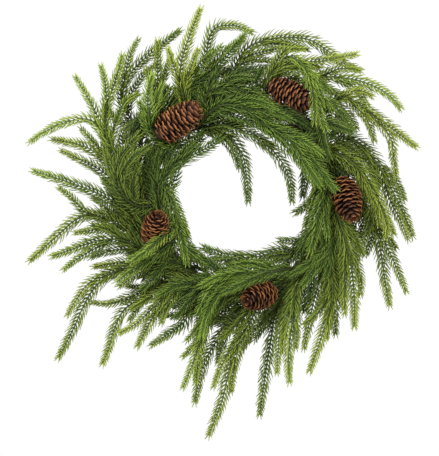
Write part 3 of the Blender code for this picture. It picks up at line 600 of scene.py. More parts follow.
def gridFaces(rows, sides, uvBox=(0, 0, 1, 1), closed=True):
    # quads of a tube or a strip, with the corner map that goes with them
    r, s = np.meshgrid(np.arange(rows - 1), np.arange(sides if closed else sides - 1), indexing="ij")
    r, s = r.ravel(), s.ravel()
    nextS = (s + 1) % sides
    faces = np.stack([r * sides + s, r * sides + nextS, (r + 1) * sides + nextS, (r + 1) * sides + s], -1)
    u0, v0, u1, v1 = uvBox
    wide = sides if closed else sides - 1
    ru, rn = u0 + (u1 - u0) * r / (rows - 1), u0 + (u1 - u0) * (r + 1) / (rows - 1)
    sv, sn = v0 + (v1 - v0) * s / wide, v0 + (v1 - v0) * (s + 1) / wide
    corners = np.stack([ru, sv, ru, sn, rn, sn, rn, sv], -1).reshape(-1, 4, 2)
    return faces, corners


def stepsAround(side, other, sides):
    # unit steps from a path to the points of its skin
    angle = 2 * math.pi * np.arange(sides) / sides
    return side[:, None] * np.cos(angle)[None, :, None] + other[:, None] * np.sin(angle)[None, :, None]


def tubeSheet(path, radii, sides, slot, uvBox=(0, 0, 1, 1)):
    # a closed round tube along a path
    path, tangent = np.asarray(path, float), tangentsOf(path)
    side = np.zeros_like(path)
    guess = toFront if abs(tangent[0, 1]) < 0.9 else np.array([1.0, 0.0, 0.0])
    for i, t in enumerate(tangent):
        guess = guess - t * (guess @ t)
        guess /= np.linalg.norm(guess)
        side[i] = guess
    around = stepsAround(side, np.cross(tangent, side), sides)
    points = (path[:, None] + around * np.asarray(radii, float)[:, None, None]).reshape(-1, 3)
    faces, corners = gridFaces(len(path), sides, uvBox)
    # a fan of triangles closes each end
    last = len(points)
    points = np.vstack([points, path[0], path[-1]])
    k = np.arange(sides)
    n = (k + 1) % sides
    capUv = np.full((sides, 3, 2), (uvBox[0], uvBox[1]))
    endUv = np.full((sides, 3, 2), (uvBox[2], uvBox[3]))
    low = np.stack([n, k, np.full(sides, last)], -1)
    top = (len(path) - 1) * sides
    high = np.stack([top + k, top + n, np.full(sides, last + 1)], -1)
    along = np.repeat(np.linspace(0, 1, len(path)), sides)
    shade = np.stack([along, 0 * along, 0 * along], -1)
    shade = np.vstack([shade, shade[0], shade[-1]])
    return {"points": points, "shade": shade, "slot": slot,
            "faces": [(faces, corners), (low, capUv), (high, endUv)]}


# Node helpers
def newMaterial(name, roughness):
    material = bpy.data.materials.new(name)
    material.use_nodes = True
    shader = material.node_tree.nodes["Principled BSDF"]
    shader.inputs["Roughness"].default_value = roughness
    return material, material.node_tree, shader


def addNode(tree, kind, links=None, **values):
    node = tree.nodes.new(kind)
    for key, value in values.items():
        setattr(node, key, value)
    for key, source in (links or {}).items():
        if isinstance(source, bpy.types.NodeSocket):
            tree.links.new(source, node.inputs[key])
        else:
            node.inputs[key].default_value = source
    return node


def addRamp(tree, source, stops):
    node = addNode(tree, "ShaderNodeValToRGB", {"Fac": source})
    elements = node.color_ramp.elements
    while len(elements) < len(stops):
        elements.new(0.5)
    for element, (place, colour) in zip(elements, stops):
        element.position = place
        element.color = (*colour, 1) if isinstance(colour, tuple) else (colour, colour, colour, 1)
    return node.outputs["Color"]


def addNoise(tree, place, scale, detail, roughness=0.5):
    noise = addNode(tree, "ShaderNodeTexNoise", {"Vector": place, "Scale": scale, "Detail": detail,
                                                 "Roughness": roughness})
    return noise.outputs["Fac"]


def mixColours(tree, first, second, factor, way="MIX"):
    node = addNode(tree, "ShaderNodeMix", data_type="RGBA", blend_type=way)
    for key, kind, source in (("Factor", "VALUE", factor), ("A", "RGBA", first), ("B", "RGBA", second)):
        socket = next(s for s in node.inputs if s.name == key and s.type == kind)
        if isinstance(source, bpy.types.NodeSocket):
            tree.links.new(source, socket)
        else:
            socket.default_value = source
    return next(s for s in node.outputs if s.type == "RGBA")


def multiply(tree, first, second):
    return mixColours(tree, first, second, 1.0, "MULTIPLY")


def shadeNumbers(tree):
    # red: along the needle, scale or twig, or how far the bark stands out; green: the tone, or
    # which skin of a scale; blue: the piece's or scale's own number
    read = addNode(tree, "ShaderNodeAttribute", attribute_name="shadeNumbers")
    split = addNode(tree, "ShaderNodeSeparateColor", {"Color": read.outputs["Color"]})
    return split.outputs["Red"], split.outputs["Green"], split.outputs["Blue"]


def addBump(tree, shader, height, strength, distance):
    bump = addNode(tree, "ShaderNodeBump", {"Height": height, "Strength": strength, "Distance": distance})
    tree.links.new(bump.outputs["Normal"], shader.inputs["Normal"])


def needleMaterial():
    look = {
        "dark": (0.045, 0.057, 0.022),
        "middle": (0.070, 0.114, 0.027),
        "fresh": (0.200, 0.290, 0.045),
        "palest": (0.450, 0.550, 0.095),
        # painted glow of light shining through the needles: the colour each needle turns towards its tip
        "tip": (0.46, 0.54, 0.080, 1),
        # some sprigs are more olive, others a cooler green
        "olive": (1.05, 1.0, 0.84),
        "plain": (0.98, 1.0, 0.96),
        "cool": (0.80, 0.98, 0.88),
        "roughness": 0.48,
        "specular": 0.22,
    }
    material, tree, shader = newMaterial("softNeedles", look["roughness"])
    along, tone, own = shadeNumbers(tree)
    green = addRamp(tree, tone, [(0.0, look["dark"]), (0.42, look["middle"]),
                                 (0.78, look["fresh"]), (1.0, look["palest"])])
    # painted shade: each needle is darkest at its foot, deep in the spray, and palest at its tip
    paintedBaseShade = addRamp(tree, along, [(0.0, 0.60), (0.3, 0.80), (0.6, 1.0), (1.0, 1.18)])
    body = multiply(tree, green, paintedBaseShade)
    hue = addRamp(tree, own, [(0.0, look["olive"]), (0.5, look["plain"]), (1.0, look["cool"])])
    body = multiply(tree, body, hue)
    # painted glow: the outer half of each needle turns to that tip colour, most on the paler twigs
    paintedTipGlow = multiply(tree, addRamp(tree, along, [(0.45, 0.0), (1.0, 0.55)]),
                        addRamp(tree, tone, [(0.35, 0.35), (0.85, 1.0)]))
    colour = mixColours(tree, body, look["tip"], paintedTipGlow)
    tree.links.new(colour, shader.inputs["Base Color"])
    shader.inputs["Specular IOR Level"].default_value = look["specular"]
    return material


def twigMaterial():
    look = {"wood": (0.050, 0.036, 0.016), "young": (0.075, 0.110, 0.024), "bud": (0.13, 0.22, 0.035),
            "roughness": 0.7}
    material, tree, shader = newMaterial("greenTwigBark", look["roughness"])
    along = shadeNumbers(tree)[0]
    colour = addRamp(tree, along, [(0.0, look["wood"]), (0.45, look["young"]), (1.0, look["bud"])])
    tree.links.new(colour, shader.inputs["Base Color"])
    return material


def vineMaterial():
    look = {"deep": (0.016, 0.009, 0.010), "bark": (0.060, 0.034, 0.034), "ridge": (0.150, 0.095, 0.080),
            "lichen": (0.17, 0.14, 0.12, 1), "grain": 420.0, "flecks": 90.0, "roughness": 0.82}
    material, tree, shader = newMaterial("darkVineBark", look["roughness"])
    ridge = shadeNumbers(tree)[0]
    place = addNode(tree, "ShaderNodeTexCoord").outputs["Object"]
    grain = addNoise(tree, place, look["grain"], 6.0, 0.62)
    flecks = addNoise(tree, place, look["flecks"], 3.0)
    # painted shade: the bark is darkest where it lies lowest, in its hollows, and palest on its ridges
    base = addRamp(tree, ridge, [(0.15, look["deep"]), (0.5, look["bark"]), (0.95, look["ridge"])])
    grainShade = addRamp(tree, grain, [(0.3, 0.45), (0.7, 1.25)])
    colour = multiply(tree, base, grainShade)
    lichen = addRamp(tree, flecks, [(0.60, 0.0), (0.74, 0.5)])
    colour = mixColours(tree, colour, look["lichen"], lichen)
    tree.links.new(colour, shader.inputs["Base Color"])
    addBump(tree, shader, grain, 0.6, 0.0012)
    return material


def coneMaterial():
    look = {"gap": (0.040, 0.022, 0.022), "back": (0.068, 0.032, 0.026), "mid": (0.098, 0.042, 0.025),
            "inner": (0.135, 0.052, 0.024), "lip": (0.190, 0.070, 0.024), "rim": (0.400, 0.165, 0.052),
            "grain": 700.0, "roughness": 0.55, "specular": 0.2}
    material, tree, shader = newMaterial("openConeScales", look["roughness"])
    along, outer, own = shadeNumbers(tree)
    place = addNode(tree, "ShaderNodeTexCoord").outputs["Object"]
    grain = addNoise(tree, place, look["grain"], 4.0, 0.6)
    # from the root of a scale to its rim: the cone's dark purple-brown inside, with painted shade deep
    # between the scales, then the paler lip and rim
    inner = addRamp(tree, along, [(0.35, look["gap"]), (0.70, look["inner"]),
                                  (0.92, look["lip"]), (1.0, look["rim"])])
    under = addRamp(tree, along, [(0.45, look["gap"]), (0.70, look["back"]), (0.87, look["mid"]),
                                  (0.95, look["lip"]), (1.0, look["rim"])])
    colour = mixColours(tree, inner, under, outer)
    shadeBy = addRamp(tree, own, [(0.0, 0.42), (0.5, 1.0), (1.0, 1.7)])
    colour = multiply(tree, colour, shadeBy)
    grainShade = addRamp(tree, grain, [(0.32, 0.72), (0.68, 1.12)])
    colour = multiply(tree, colour, grainShade)
    tree.links.new(colour, shader.inputs["Base Color"])
    shader.inputs["Specular IOR Level"].default_value = look["specular"]
    addBump(tree, shader, grain, 0.35, 0.0006)
    return material


def wireMaterial():
    look = {"lacquer": (0.030, 0.048, 0.026), "worn": (0.070, 0.085, 0.050), "wear": 300.0,
            "roughness": 0.4}
    material, tree, shader = newMaterial("lacqueredWire", look["roughness"])
    place = addNode(tree, "ShaderNodeTexCoord").outputs["Object"]
    wear = addNoise(tree, place, look["wear"], 3.0)
    colour = addRamp(tree, wear, [(0.35, look["lacquer"]), (0.7, look["worn"])])
    tree.links.new(colour, shader.inputs["Base Color"])
    return material


# Each cone grew its own way: share of the full length and width, the way it points (right,
# up, forward), how far its foot slid on the wire (mm right and up), and how pale it is
coneLook = {
    "cone_1": (1.06, 1.09, (0.80, 0.56, 0.20), (-3.5, -3.0), 0.60),
    "cone_2": (1.02, 0.92, (0.85, -0.41, 0.30), (-5.5, -4.5), 0.46),
    "cone_3": (1.05, 0.99, (0.22, -0.80, 0.58), (-5.5, -0.5), 0.32),
    "cone_4": (0.83, 0.94, (-0.68, -0.27, 0.72), (-7.0, 2.5), 0.25),
    "cone_5": (0.87, 0.92, (0.14, 0.68, 0.72), (0.8, 3.2), 0.38),
}


def coneShapes():
    # where each cone starts, the way it points, its length and its widest radius
    shapes = {}
    for name, ((x, z), reach, way, angle) in conePlan.items():
        long, wide, lookWay, (right, up), pale = coneLook[name]
        foot = np.array([x + right, -reach, z + up], float) - coneAxis(way) * cone["length"] / 2
        shapes[name] = (foot, coneAxis(lookWay), cone["length"] * long, cone["radius"] * wide)
    return shapes


def coneEnvelope(share):
    # share of its widest radius at each share of a cone's length
    return np.interp(share, (0.0, 0.03, 0.12, 0.27, 0.45, 0.65, 0.82, 0.94, 1.0),
                     (0.40, 0.70, 0.94, 1.0, 0.99, 0.92, 0.74, 0.48, 0.20))


def hiddenPoints(points, intoCone=0.92, intoVines=2.5):
    # points inside this share of a cone's outline, or this many mm inside the twist of vines
    inside = np.zeros(points.shape[:-1], bool)
    for foot, axis, length, radius in coneShapes().values():
        share = (points - foot) @ axis / length
        rho = np.linalg.norm(points - foot - share[..., None] * axis * length, axis=-1)
        inside |= (share > -0.02) & (share < 1.02) & (rho < coneEnvelope(share) * radius * intoCone)
    flat = points * np.array([1, 0, 1])
    out = np.linalg.norm(flat, axis=-1) - ring["radius"]
    return inside | (np.hypot(out, points[..., 1]) < ring["hull"] - intoVines)


needle = {
    "pitch": (4.0, 5.9),     # mm of twig for each whorl, at the tip and further back
    # each needle of a whorl: degrees round the twig, and share of a whorl that it stands further on
    "whorl": ((88, 0), (-88, 0), (42, 0.10), (-42, 0.10), (136, 0.0), (-136, 0.0)),
    "length": {"stem": 20.5, "finger": 18.0, "shoot": 19.5},       # mm
    "youngLength": 0.84,     # share of the length in the growth furthest out
    "width": 1.9,            # mm
    "thickness": 0.95,       # share of the width
    "leave": 62.0,           # degrees from the twig where a side needle starts
    "finish": 12.0,          # degrees from the twig at its tip
    "taper": 62.0,           # mm of twig over which the needles grow to full length
    "lieFlat": 0.86,         # how much closer the needles on the face lie
    "sideLength": (0.55, 0.45),    # share of the length on the face, and what a side needle adds
    "tipLength": (0.46, 0.54),     # share of the length at the tip, and what comes further back
    "tipLeave": (0.80, 0.20),      # the same for the angle
    "wall": (11, 0.35),      # mm back where the wall presses, and how far needles still give
    "tuft": {"count": 3, "leave": 24, "finish": 12, "length": 0.58},       # at the tip of a twig
    "tipInset": 8.5,         # mm from the last wood to the tips of the last needles
    "finishMore": 8,         # degrees more at the tip of the twig
    "uneven": 0.07,          # how much one needle differs from the next
    "steps": (0.0, 0.36, 0.78, 1.0),       # shares of a needle's length, and its widths there
    "widths": (0.85, 1.0, 0.78),
    "youngFrom": (165.0, 245.0),   # mm from the ring's centre where the growth turns pale
    # the growth furthest out is paler as young growth, and also carries painted glow of light through the
    # outer needles
    "faceTone": 0.08,        # how much paler a needle is on the face of the wreath,
    "youngGrowthAndGlowTone": 0.26,       # in the growth furthest out,
    "tipTone": 0.10,         # near the tip of its twig,
    "olderShootAndShadeTone": -0.22,      # and on a side shoot
    "shootPitch": 1.1,       # side shoots are a little less dense
}


def needlePlaces(total, start, pitch, rng):
    # for each needle of a twig: mm along it, the way round it, and its share of full growth
    grid = np.linspace(min(start, total - 1), total, 200)
    full = np.clip((total - grid) / needle["taper"], 0, 1)
    count = np.r_[0, np.cumsum(np.diff(grid) / (pitch[0] + full[1:] * (pitch[1] - pitch[0])))]
    whorls = np.arange(int(count[-1]) + 1)
    turn, offset = np.array(needle["whorl"]).T
    place = (whorls[:, None] + offset[None]).ravel()
    s = np.interp(place + rng.normal(0, 0.04, len(place)), count, grid)
    phi = (np.radians(turn)[None] + 0 * whorls[:, None]).ravel() + rng.normal(0, 0.10, len(place))
    spread = np.clip((total - s) / needle["taper"], 0, 1) ** 0.8
    # the tuft at its end
    last = needle["tuft"]["count"]
    s = np.r_[s, np.full(last, total)]
    phi = np.r_[phi, math.pi / 2 + np.arange(last) * math.pi + rng.normal(0, 0.2, last)]
    return s, phi, np.r_[spread, np.full(last, 0.0)]


def growNeedles(path, radii, longest, fresh, roll, rng, start, pitch):
    # every needle of one twig as rows of points, with their ways and tones
    run = runLengths(path)
    s, phi, spread = needlePlaces(run[-1], start, pitch, rng)
    n, uneven = len(s), needle["uneven"]
    base, tangent = atRuns(path, run, s), unit(atRuns(tangentsOf(path), run, s))
    radius = np.interp(s, run, radii)
    face = unit(toFront - (tangent @ toFront)[:, None] * tangent)
    side = np.cross(tangent, face)
    turned = phi + roll
    outward = face * np.cos(turned)[:, None] + side * np.sin(turned)[:, None]
    across = -face * np.sin(turned)[:, None] + side * np.cos(turned)[:, None]
    sideways = np.abs(np.sin(phi))
    flat = needle["lieFlat"] + (1 - needle["lieFlat"]) * sideways
    least, more = needle["tipLeave"]
    leave = np.radians(needle["leave"]) * flat * (least + more * spread) * rng.normal(1, uneven, n)
    finish = np.radians(needle["finish"]) * flat * rng.normal(1, 0.25, n) \
        + np.radians(needle["finishMore"]) * (1 - spread)
    (onFace, onSide), (atTip, behind) = needle["sideLength"], needle["tipLength"]
    length = longest * (onFace + onSide * sideways) * (atTip + behind * spread) * rng.normal(1, uneven, n)
    tuft = needle["tuft"]
    leave[-tuft["count"]:] = np.radians(tuft["leave"])
    finish[-tuft["count"]:] = np.radians(tuft["finish"])
    length[-tuft["count"]:] = tuft["length"] * longest
    far = np.hypot(base[:, 0], base[:, 2])
    near, away = needle["youngFrom"]
    young = np.clip((far - near) / (away - near), 0, 1)
    length *= 1 + (needle["youngLength"] - 1) * young
    steps = needle["steps"]
    sway = rng.normal(0, uneven, n)
    rows = [base + outward * (radius * 0.5)[:, None]]
    ways = []
    for t0, t1 in zip(steps[:-1], steps[1:]):
        angle = leave + (finish - leave) * ((t0 + t1) / 2) ** 0.8
        way = unit(tangent * np.cos(angle)[:, None] + outward * np.sin(angle)[:, None]
                   + across * (sway * (t0 + t1) / 2)[:, None])
        rows.append(rows[-1] + way * (length * (t1 - t0))[:, None])
        ways.append(way)
    rows = np.stack(rows, 1)
    back = rows[..., 1]
    wall, give = needle["wall"]
    rows[..., 1] = np.where(back > wall, wall + (back - wall) * give, back)
    ways = unit(np.diff(rows, axis=1))
    ways = np.concatenate([ways, ways[:, -1:]], 1)
    keep = ~hiddenPoints(rows[:, 1:]).any(1)
    # paler in the growth furthest out: young growth, with painted glow of light through the outer needles
    tone = fresh + needle["faceTone"] * np.cos(turned) + needle["youngGrowthAndGlowTone"] * young \
        + needle["tipTone"] * (1 - spread) + rng.normal(0, uneven, n)
    return rows[keep], ways[keep], across[keep], np.clip(tone, 0, 1)[keep]


def needleSheet(grown, own):
    rows, ways, across, tone = (np.concatenate(part) for part in zip(*grown))
    n = len(rows)
    wide = unit(across[:, None] - (across[:, None] * ways).sum(-1, keepdims=True) * ways)
    thin = np.cross(ways, wide)
    angles = np.radians([90, 210, 330])
    skin = []
    for i, share in enumerate(needle["widths"]):
        half = needle["width"] * share / 2
        for angle in angles:
            skin.append(rows[:, i] + wide[:, i] * half * math.cos(angle)
                        + thin[:, i] * half * needle["thickness"] * math.sin(angle))
    points = np.stack(skin + [rows[:, 3]], 1)             # ten for each needle, the last its tip
    first = np.arange(n)[:, None] * 10
    # three sides from ring to ring, then a pointed tip and a closed foot
    quads = []
    for i in range(2):
        for k in range(3):
            j = (k + 1) % 3
            quads.append(first + np.array([i * 3 + k, i * 3 + j, i * 3 + 3 + j, i * 3 + 3 + k]))
    quads = np.stack(quads, 1).reshape(-1, 4)
    tris = np.stack([first + np.array([6 + k, 6 + (k + 1) % 3, 9]) for k in range(3)]
                    + [first + np.array([2, 1, 0])], 1).reshape(-1, 3)
    alongRow = np.r_[np.repeat(needle["steps"][:3], 3), 1.0]
    along = np.tile(alongRow, n)
    tones = np.repeat(tone, 10)
    place = np.stack([0.02 + 0.96 * along, 0.14 + 0.84 * tones], -1)      # above the twigs' strips
    shade = np.stack([along, tones, np.full(len(along), own)], -1)
    return {"points": points.reshape(-1, 3), "shade": shade, "slot": 0,
            "faces": [(quads, place[quads]), (tris, place[tris])]}


shoot = {
    "every": 13.0,           # mm of stem between two side shoots
    "shift": 4,              # mm by which each may stand nearer to the next
    "length": 46.0,          # mm, and the least and most share of it
    "lengths": (0.75, 1.15),
    "angle": 30.0,           # degrees from the stem, and the least and most share of it
    "angles": (0.8, 1.25),
    "back": 9.0,             # mm behind the stem at which its end lies
    "upTo": 0.72,            # share of the stem that carries them
    "band": (96, 196),       # mm from the ring's centre between which they stay
    "besideCone": 1.0,       # mm between a cone and a twig that passes in front
    "behindCone": 22.0,      # a twig that reaches no further forward passes behind the cones
}


def hidesCone(path):
    # whether a twig would lie across the front of a cone
    hidden = np.zeros(path.shape[:-2], bool)
    for foot, axis, length, radius in coneShapes().values():
        along = np.clip((path - foot) @ axis, 4, length - 4)
        near = path - foot - along[..., None] * axis
        inFront = -path[..., 1] > shoot["behindCone"]
        hidden |= ((np.hypot(near[..., 0], near[..., 2]) < radius + shoot["besideCone"]) & inFront).any(-1)
    return hidden


def bentShoots(bases, ways, turns, lengths, curls, backs):
    # shoots that leave their twigs at an angle, which eases off towards their tips
    points = [bases]
    for t in (0.25, 0.5, 0.75, 1.0):
        bend = turns * (1 - 0.55 * t) + curls * t
        step = np.stack([ways[:, 0] * np.cos(bend) + ways[:, 2] * np.sin(bend),
                         ways[:, 1] * 0.4 + backs / lengths,
                         ways[:, 2] * np.cos(bend) - ways[:, 0] * np.sin(bend)], -1)
        points.append(points[-1] + unit(step) * (lengths / 4)[:, None])
    return np.stack(points, 1)


def sideShoots(path, first, rng):
    # short leafy shoots on both sides of a stem
    run = runLengths(path)
    places = np.arange(first, shoot["upTo"] * run[-1], shoot["every"])
    n = len(places)
    if n == 0:
        return []
    places = places + rng.uniform(-shoot["shift"], shoot["shift"], n)
    turns = np.radians(shoot["angle"] * rng.uniform(*shoot["angles"], n))
    turns *= np.where(np.arange(n) % 2, 1, -1)
    lengths = shoot["length"] * rng.uniform(*shoot["lengths"], n)
    shoots = bentShoots(atRuns(path, run, places), unit(atRuns(tangentsOf(path), run, places)),
                        turns, lengths, np.zeros(n), np.full(n, shoot["back"]))
    away = np.hypot(shoots[..., 0], shoots[..., 2])
    good = (away.min(1) > shoot["band"][0]) & (away.max(1) < shoot["band"][1]) & ~hidesCone(shoots)
    return list(shoots[good])


# Sprays that lie across a cone or close behind one: right, up and forward of the ring's centre
coneSprays = {
    "sprig_inner_5": [((-92, -38, 32), (-104, -50, 56), (-122, -66, 68), (-140, -80, 67), (-157, -93, 60)),
                      ((-92, -22, 28), (-101, -46, 22), (-105, -68, 16), (-103, -92, 12))],
    "sprig_face_8": [((70, -100, 36), (46, -103, 52), (18, -113, 62), (-8, -124, 62), (-31, -135, 54))],
    "sprig_right_1": [((31, 148, 26), (42, 163, 12), (62, 169, 6), (84, 162, 4), (104, 147, 2)),
                      ((34, 132, 21), (40, 150, 10), (50, 168, 4), (64, 184, 0))],
    "sprig_right_3": [((80, 113, -5), (92, 110, 4), (104, 100, 8), (116, 84, 10)),
                      ((82, 116, -5), (94, 128, 2), (106, 132, 4), (122, 130, 4))],
    "sprig_right_4": [((134, 42, 8), (150, 26, 4), (163, 4, 2), (162, -22, 2), (155, -42, 4),
                       (150, -60, 6))],
}


def planParts(twigs):
    # every stem, finger and side shoot of every sprig: kind, path and bare length at its foot
    parts = {}
    for order, name in enumerate(sprigPlan):
        rng = np.random.default_rng(100 + order)
        parts[name] = []
        for twig in (t for t in twigs if t["node"] == name):
            path = smoothPath(twig["points"], 2.0)
            if twig["parent"] is None:
                bare = runLengths(twig["points"])[twig["first"]] - 3
                parts[name].append(("stem", path, bare))
                side = sideShoots(path, bare + 12, rng)
                parts[name] += [("shoot", smoothPath(points, 2.0), 0.5) for points in side]
            else:
                parts[name].append(("finger", path, 0.5))
        for way in coneSprays.get(name, []):
            spray = smoothPath([(right, -forward, up) for right, up, forward in way], 2.0)
            parts[name].append(("finger", spray, 0.5))
    return parts


# Shoots that close the wreath where it would show through
filler = {
    "band": (95.0, 187.0),   # mm from the ring's centre where the greenery is thick
    "cell": 3.0,             # mm, the squares in which the open places are counted
    "closed": 0.62,          # how far one leafy twig closes what lies behind it
    "fringe": 8.5,           # mm of needles on each side of a twig
    "round": 14,             # mm round a twig in which squares are looked at
    "every": 10.0,           # mm of twig between two places where one may start
    "angles": (14, 28, 42, 56),    # degrees from the twig
    "curls": (-20, 20),      # degrees by which it has turned at its tip
    "backs": (9.0, 28.0),    # mm further back at its tip
    "lengths": (40.0, 52.0, 64.0),
    "outside": -0.8,         # what a square outside the band counts for
    "least": 26.0,           # mm2 of open wreath that one must close
    "most": 150,             # shoots
    "reach": ((0, 12, 20, 36, 80), (0.6, 0.7, 1.1, 1.0, 0.6)),   # mm forward, and how welcome
}


def cellOf(openPlaces, points):
    # the square of the open-place count that each point (x, z) falls in
    half = len(openPlaces) // 2
    place = np.floor(points / filler["cell"]).astype(int) + half
    return tuple(np.clip(place, 0, 2 * half - 1).T)


def closeRound(openPlaces, path, bare):
    # count the squares beside the leafy part of a twig as mostly closed, fewer near its tip
    line = path[runLengths(path) >= bare][::3][:, [0, 2]]
    low = np.floor((line.min(0) - filler["round"]) / filler["cell"]).astype(int)
    high = np.floor((line.max(0) + filler["round"]) / filler["cell"]).astype(int)
    x, z = np.meshgrid(np.arange(low[0], high[0]), np.arange(low[1], high[1]), indexing="ij")
    cells = np.stack([x.ravel(), z.ravel()], -1) * filler["cell"] + filler["cell"] / 2
    gap = np.linalg.norm(cells[:, None] - line[None], axis=-1)
    nearest = gap.argmin(1)
    fringe = filler["fringe"] * np.clip(0.45 + (len(line) - 1 - nearest) * 6 / 45, 0, 1)
    share = filler["closed"] * np.clip((fringe + 2 - gap.min(1)) / 4, 0, 1)
    place = cellOf(openPlaces, cells)
    counted = openPlaces[place] > 0
    openPlaces[place] = np.where(counted, openPlaces[place] * (1 - share), openPlaces[place])


def countOpen(parts):
    # start with the whole band open, then close it with each cone and each leafy twig
    half = int(filler["band"][1] + 20) // int(filler["cell"])
    middle = (np.arange(-half, half) + 0.5) * filler["cell"]
    away = np.hypot(middle[:, None], middle[None])
    inBand = (away > filler["band"][0]) & (away < filler["band"][1])
    openPlaces = np.where(inBand, 1.0, filler["outside"])
    for foot, axis, length, radius in coneShapes().values():
        for share in np.linspace(0.15, 0.85, 9):
            spot = foot + axis * length * share
            far = np.hypot(middle[:, None] - spot[0], middle[None] - spot[2])
            openPlaces[(far < radius * 0.85) & inBand] = 0.001
    for kind, path, bare in (part for name in parts for part in parts[name]):
        closeRound(openPlaces, path, bare)
    return openPlaces


def possibleFillers(parts):
    # many shoots that could be grown: which sprig each would belong to, and its points
    owners, bases, ways = [], [], []
    for name in parts:
        for kind, path, bare in parts[name]:
            run = runLengths(path)
            places = np.arange(bare + 4, run[-1] - 18, filler["every"])
            owners += [name] * len(places)
            bases.append(atRuns(path, run, places))
            ways.append(unit(atRuns(tangentsOf(path), run, places)))
    bases, ways = np.vstack(bases), np.vstack(ways)
    inside = np.hypot(bases[:, 0], bases[:, 2]) < filler["band"][1]
    bases, ways, owners = bases[inside], ways[inside], np.array(owners)[inside]
    n = len(bases)
    kinds = [(math.radians(turn * side), length, math.radians(curl), back)
             for turn in filler["angles"] for side in (1, -1) for curl in filler["curls"]
             for length in filler["lengths"] for back in filler["backs"]]
    shoots = [bentShoots(bases, ways, *(np.full(n, value) for value in kind)) for kind in kinds]
    shoots, names = np.vstack(shoots), np.tile(owners, len(kinds))
    good = ~hidesCone(shoots)
    return names[good], shoots[good]


def addFillers(parts):
    # grow the shoot that closes most of the open places, again and again
    openPlaces = countOpen(parts)
    names, shoots = possibleFillers(parts)
    lengths = np.linalg.norm(np.diff(shoots, axis=1), axis=-1).sum(1)
    line = shoots[:, :, [0, 2]]
    along = unit(np.gradient(line, axis=1))
    across = np.stack([-along[..., 1], along[..., 0]], -1)
    half = filler["fringe"] * np.array([0.7, 1.0, 1.0, 0.8, 0.45])
    spots = line[:, :, None] + across[:, :, None] * (half[:, None] * np.linspace(-0.8, 0.8, 5))[..., None]
    cells = cellOf(openPlaces, spots.reshape(-1, 2))
    area = lengths[:, None] / 5 * half[None] * 2 / 5
    worth = np.interp(-shoots[:, :, 1].mean(1), *filler["reach"])
    added = 0
    while added < filler["most"]:
        # a wide hole counts for more than as much open space in small chinks
        shown = np.maximum(openPlaces, 0)
        near = (-2, -1, 0, 1, 2)
        openRound = sum(np.roll(shown, (i, k), (0, 1)) for i in near for k in near) / 25
        value = np.where(openPlaces > 0, openPlaces * (0.05 + 2.0 * openRound), openPlaces)
        gain = ((value[cells].reshape(len(shoots), 5, 5)).sum(2) * area).sum(1) * worth
        best = int(np.argmax(gain))
        if gain[best] < filler["least"]:
            break
        path = smoothPath(shoots[best], 2.0)
        parts[names[best]].append(("shoot", path, 0.5))
        closeRound(openPlaces, path, 0.5)
        added += 1
    print("fillers added:", added)


# How fresh each sprig is: the young growth is paler and yellower
freshness = {
    "usual": 0.52,
    "sprig_crown_3": 0.74, "sprig_left_1": 0.62, "sprig_right_1": 0.66, "sprig_right_2": 0.66,
    "sprig_right_3": 0.64, "sprig_right_5": 0.68, "sprig_right_7": 0.66, "sprig_right_9": 0.66,
    "sprig_foot_1": 0.66, "sprig_foot_3": 0.66, "sprig_foot_7": 0.66, "sprig_face_1": 0.68,
    "sprig_face_5": 0.66, "sprig_face_6": 0.70, "sprig_face_7": 0.66, "sprig_face_9": 0.68,
    "sprig_inner_5": 0.70, "sprig_left_3": 0.40, "sprig_foot_6": 0.46, "sprig_right_8": 0.40,
    "sprig_inner_2": 0.40, "sprig_face_10": 0.46,
}
sprigLook = {
    "stemWood": (2.1, 0.8),  # mm, its radius at the foot and the tip
    "sideWood": (1.2, 0.65),
    "toneRange": 0.06,       # how much the twigs of a sprig differ
    "roll": 0.35,            # radians by which the needles of a twig may turn round it
    "hue": 0.65,             # the most that a sprig's own number can be
    "coolOnes": ("sprig_face", "sprig_inner_5", "sprig_inner_6"),     # a cooler green than the rest
    "coolHue": (0.70, 0.46), # where the number of a cool one starts, and how far it spreads
}


def buildSprig(name, parts, materials, seed):
    rng = np.random.default_rng(seed)
    fresh = freshness.get(name, freshness["usual"])
    grown, wood = [], []
    for k, (kind, path, bare) in enumerate(parts):
        run = runLengths(path)
        end = run[-1] - needle["tipInset"]
        path = atRuns(path, run, np.linspace(0, end, max(4, int(end / 5))))
        thick = sprigLook["stemWood" if kind == "stem" else "sideWood"]
        radii = np.interp(np.linspace(0, 1, len(path)), (0, 1), thick)
        strip = 0.12 * np.array([k, k + 0.9]) / len(parts)      # its strip of the sprig's map
        wood.append(tubeSheet(path, radii, 5, 1, (0.0, strip[0], 1.0, strip[1])))
        tone = fresh + rng.uniform(-1, 1) * sprigLook["toneRange"]
        # side shoots are darker: older needles, with painted shade for the foliage that lies behind the
        # front sprays
        tone += needle["olderShootAndShadeTone"] if kind == "shoot" else 0
        pitch = np.array(needle["pitch"]) * (needle["shootPitch"] if kind == "shoot" else 1)
        roll = rng.uniform(-1, 1) * sprigLook["roll"]
        grown.append(growNeedles(path, radii, needle["length"][kind], tone, roll, rng, bare, pitch))
    own = rng.random() * sprigLook["hue"]
    if name.startswith(sprigLook["coolOnes"]):
        own = sprigLook["coolHue"][0] + own * sprigLook["coolHue"][1]
    sheets = [needleSheet(grown, own)] + wood
    return makePiece(name + "_greens", sheets, materials, name)


bark = {
    "stations": 540,
    "sides": 18,
    "waves": 26,             # swellings along and across a vine
    "waveSize": 0.050,       # each size is a share of the vine's radius
    "ridges": (5, 8, 11),
    "ridgeSize": 0.020,
    "knots": 9,
    "knotSize": 0.16,
    "most": 1.24,
}


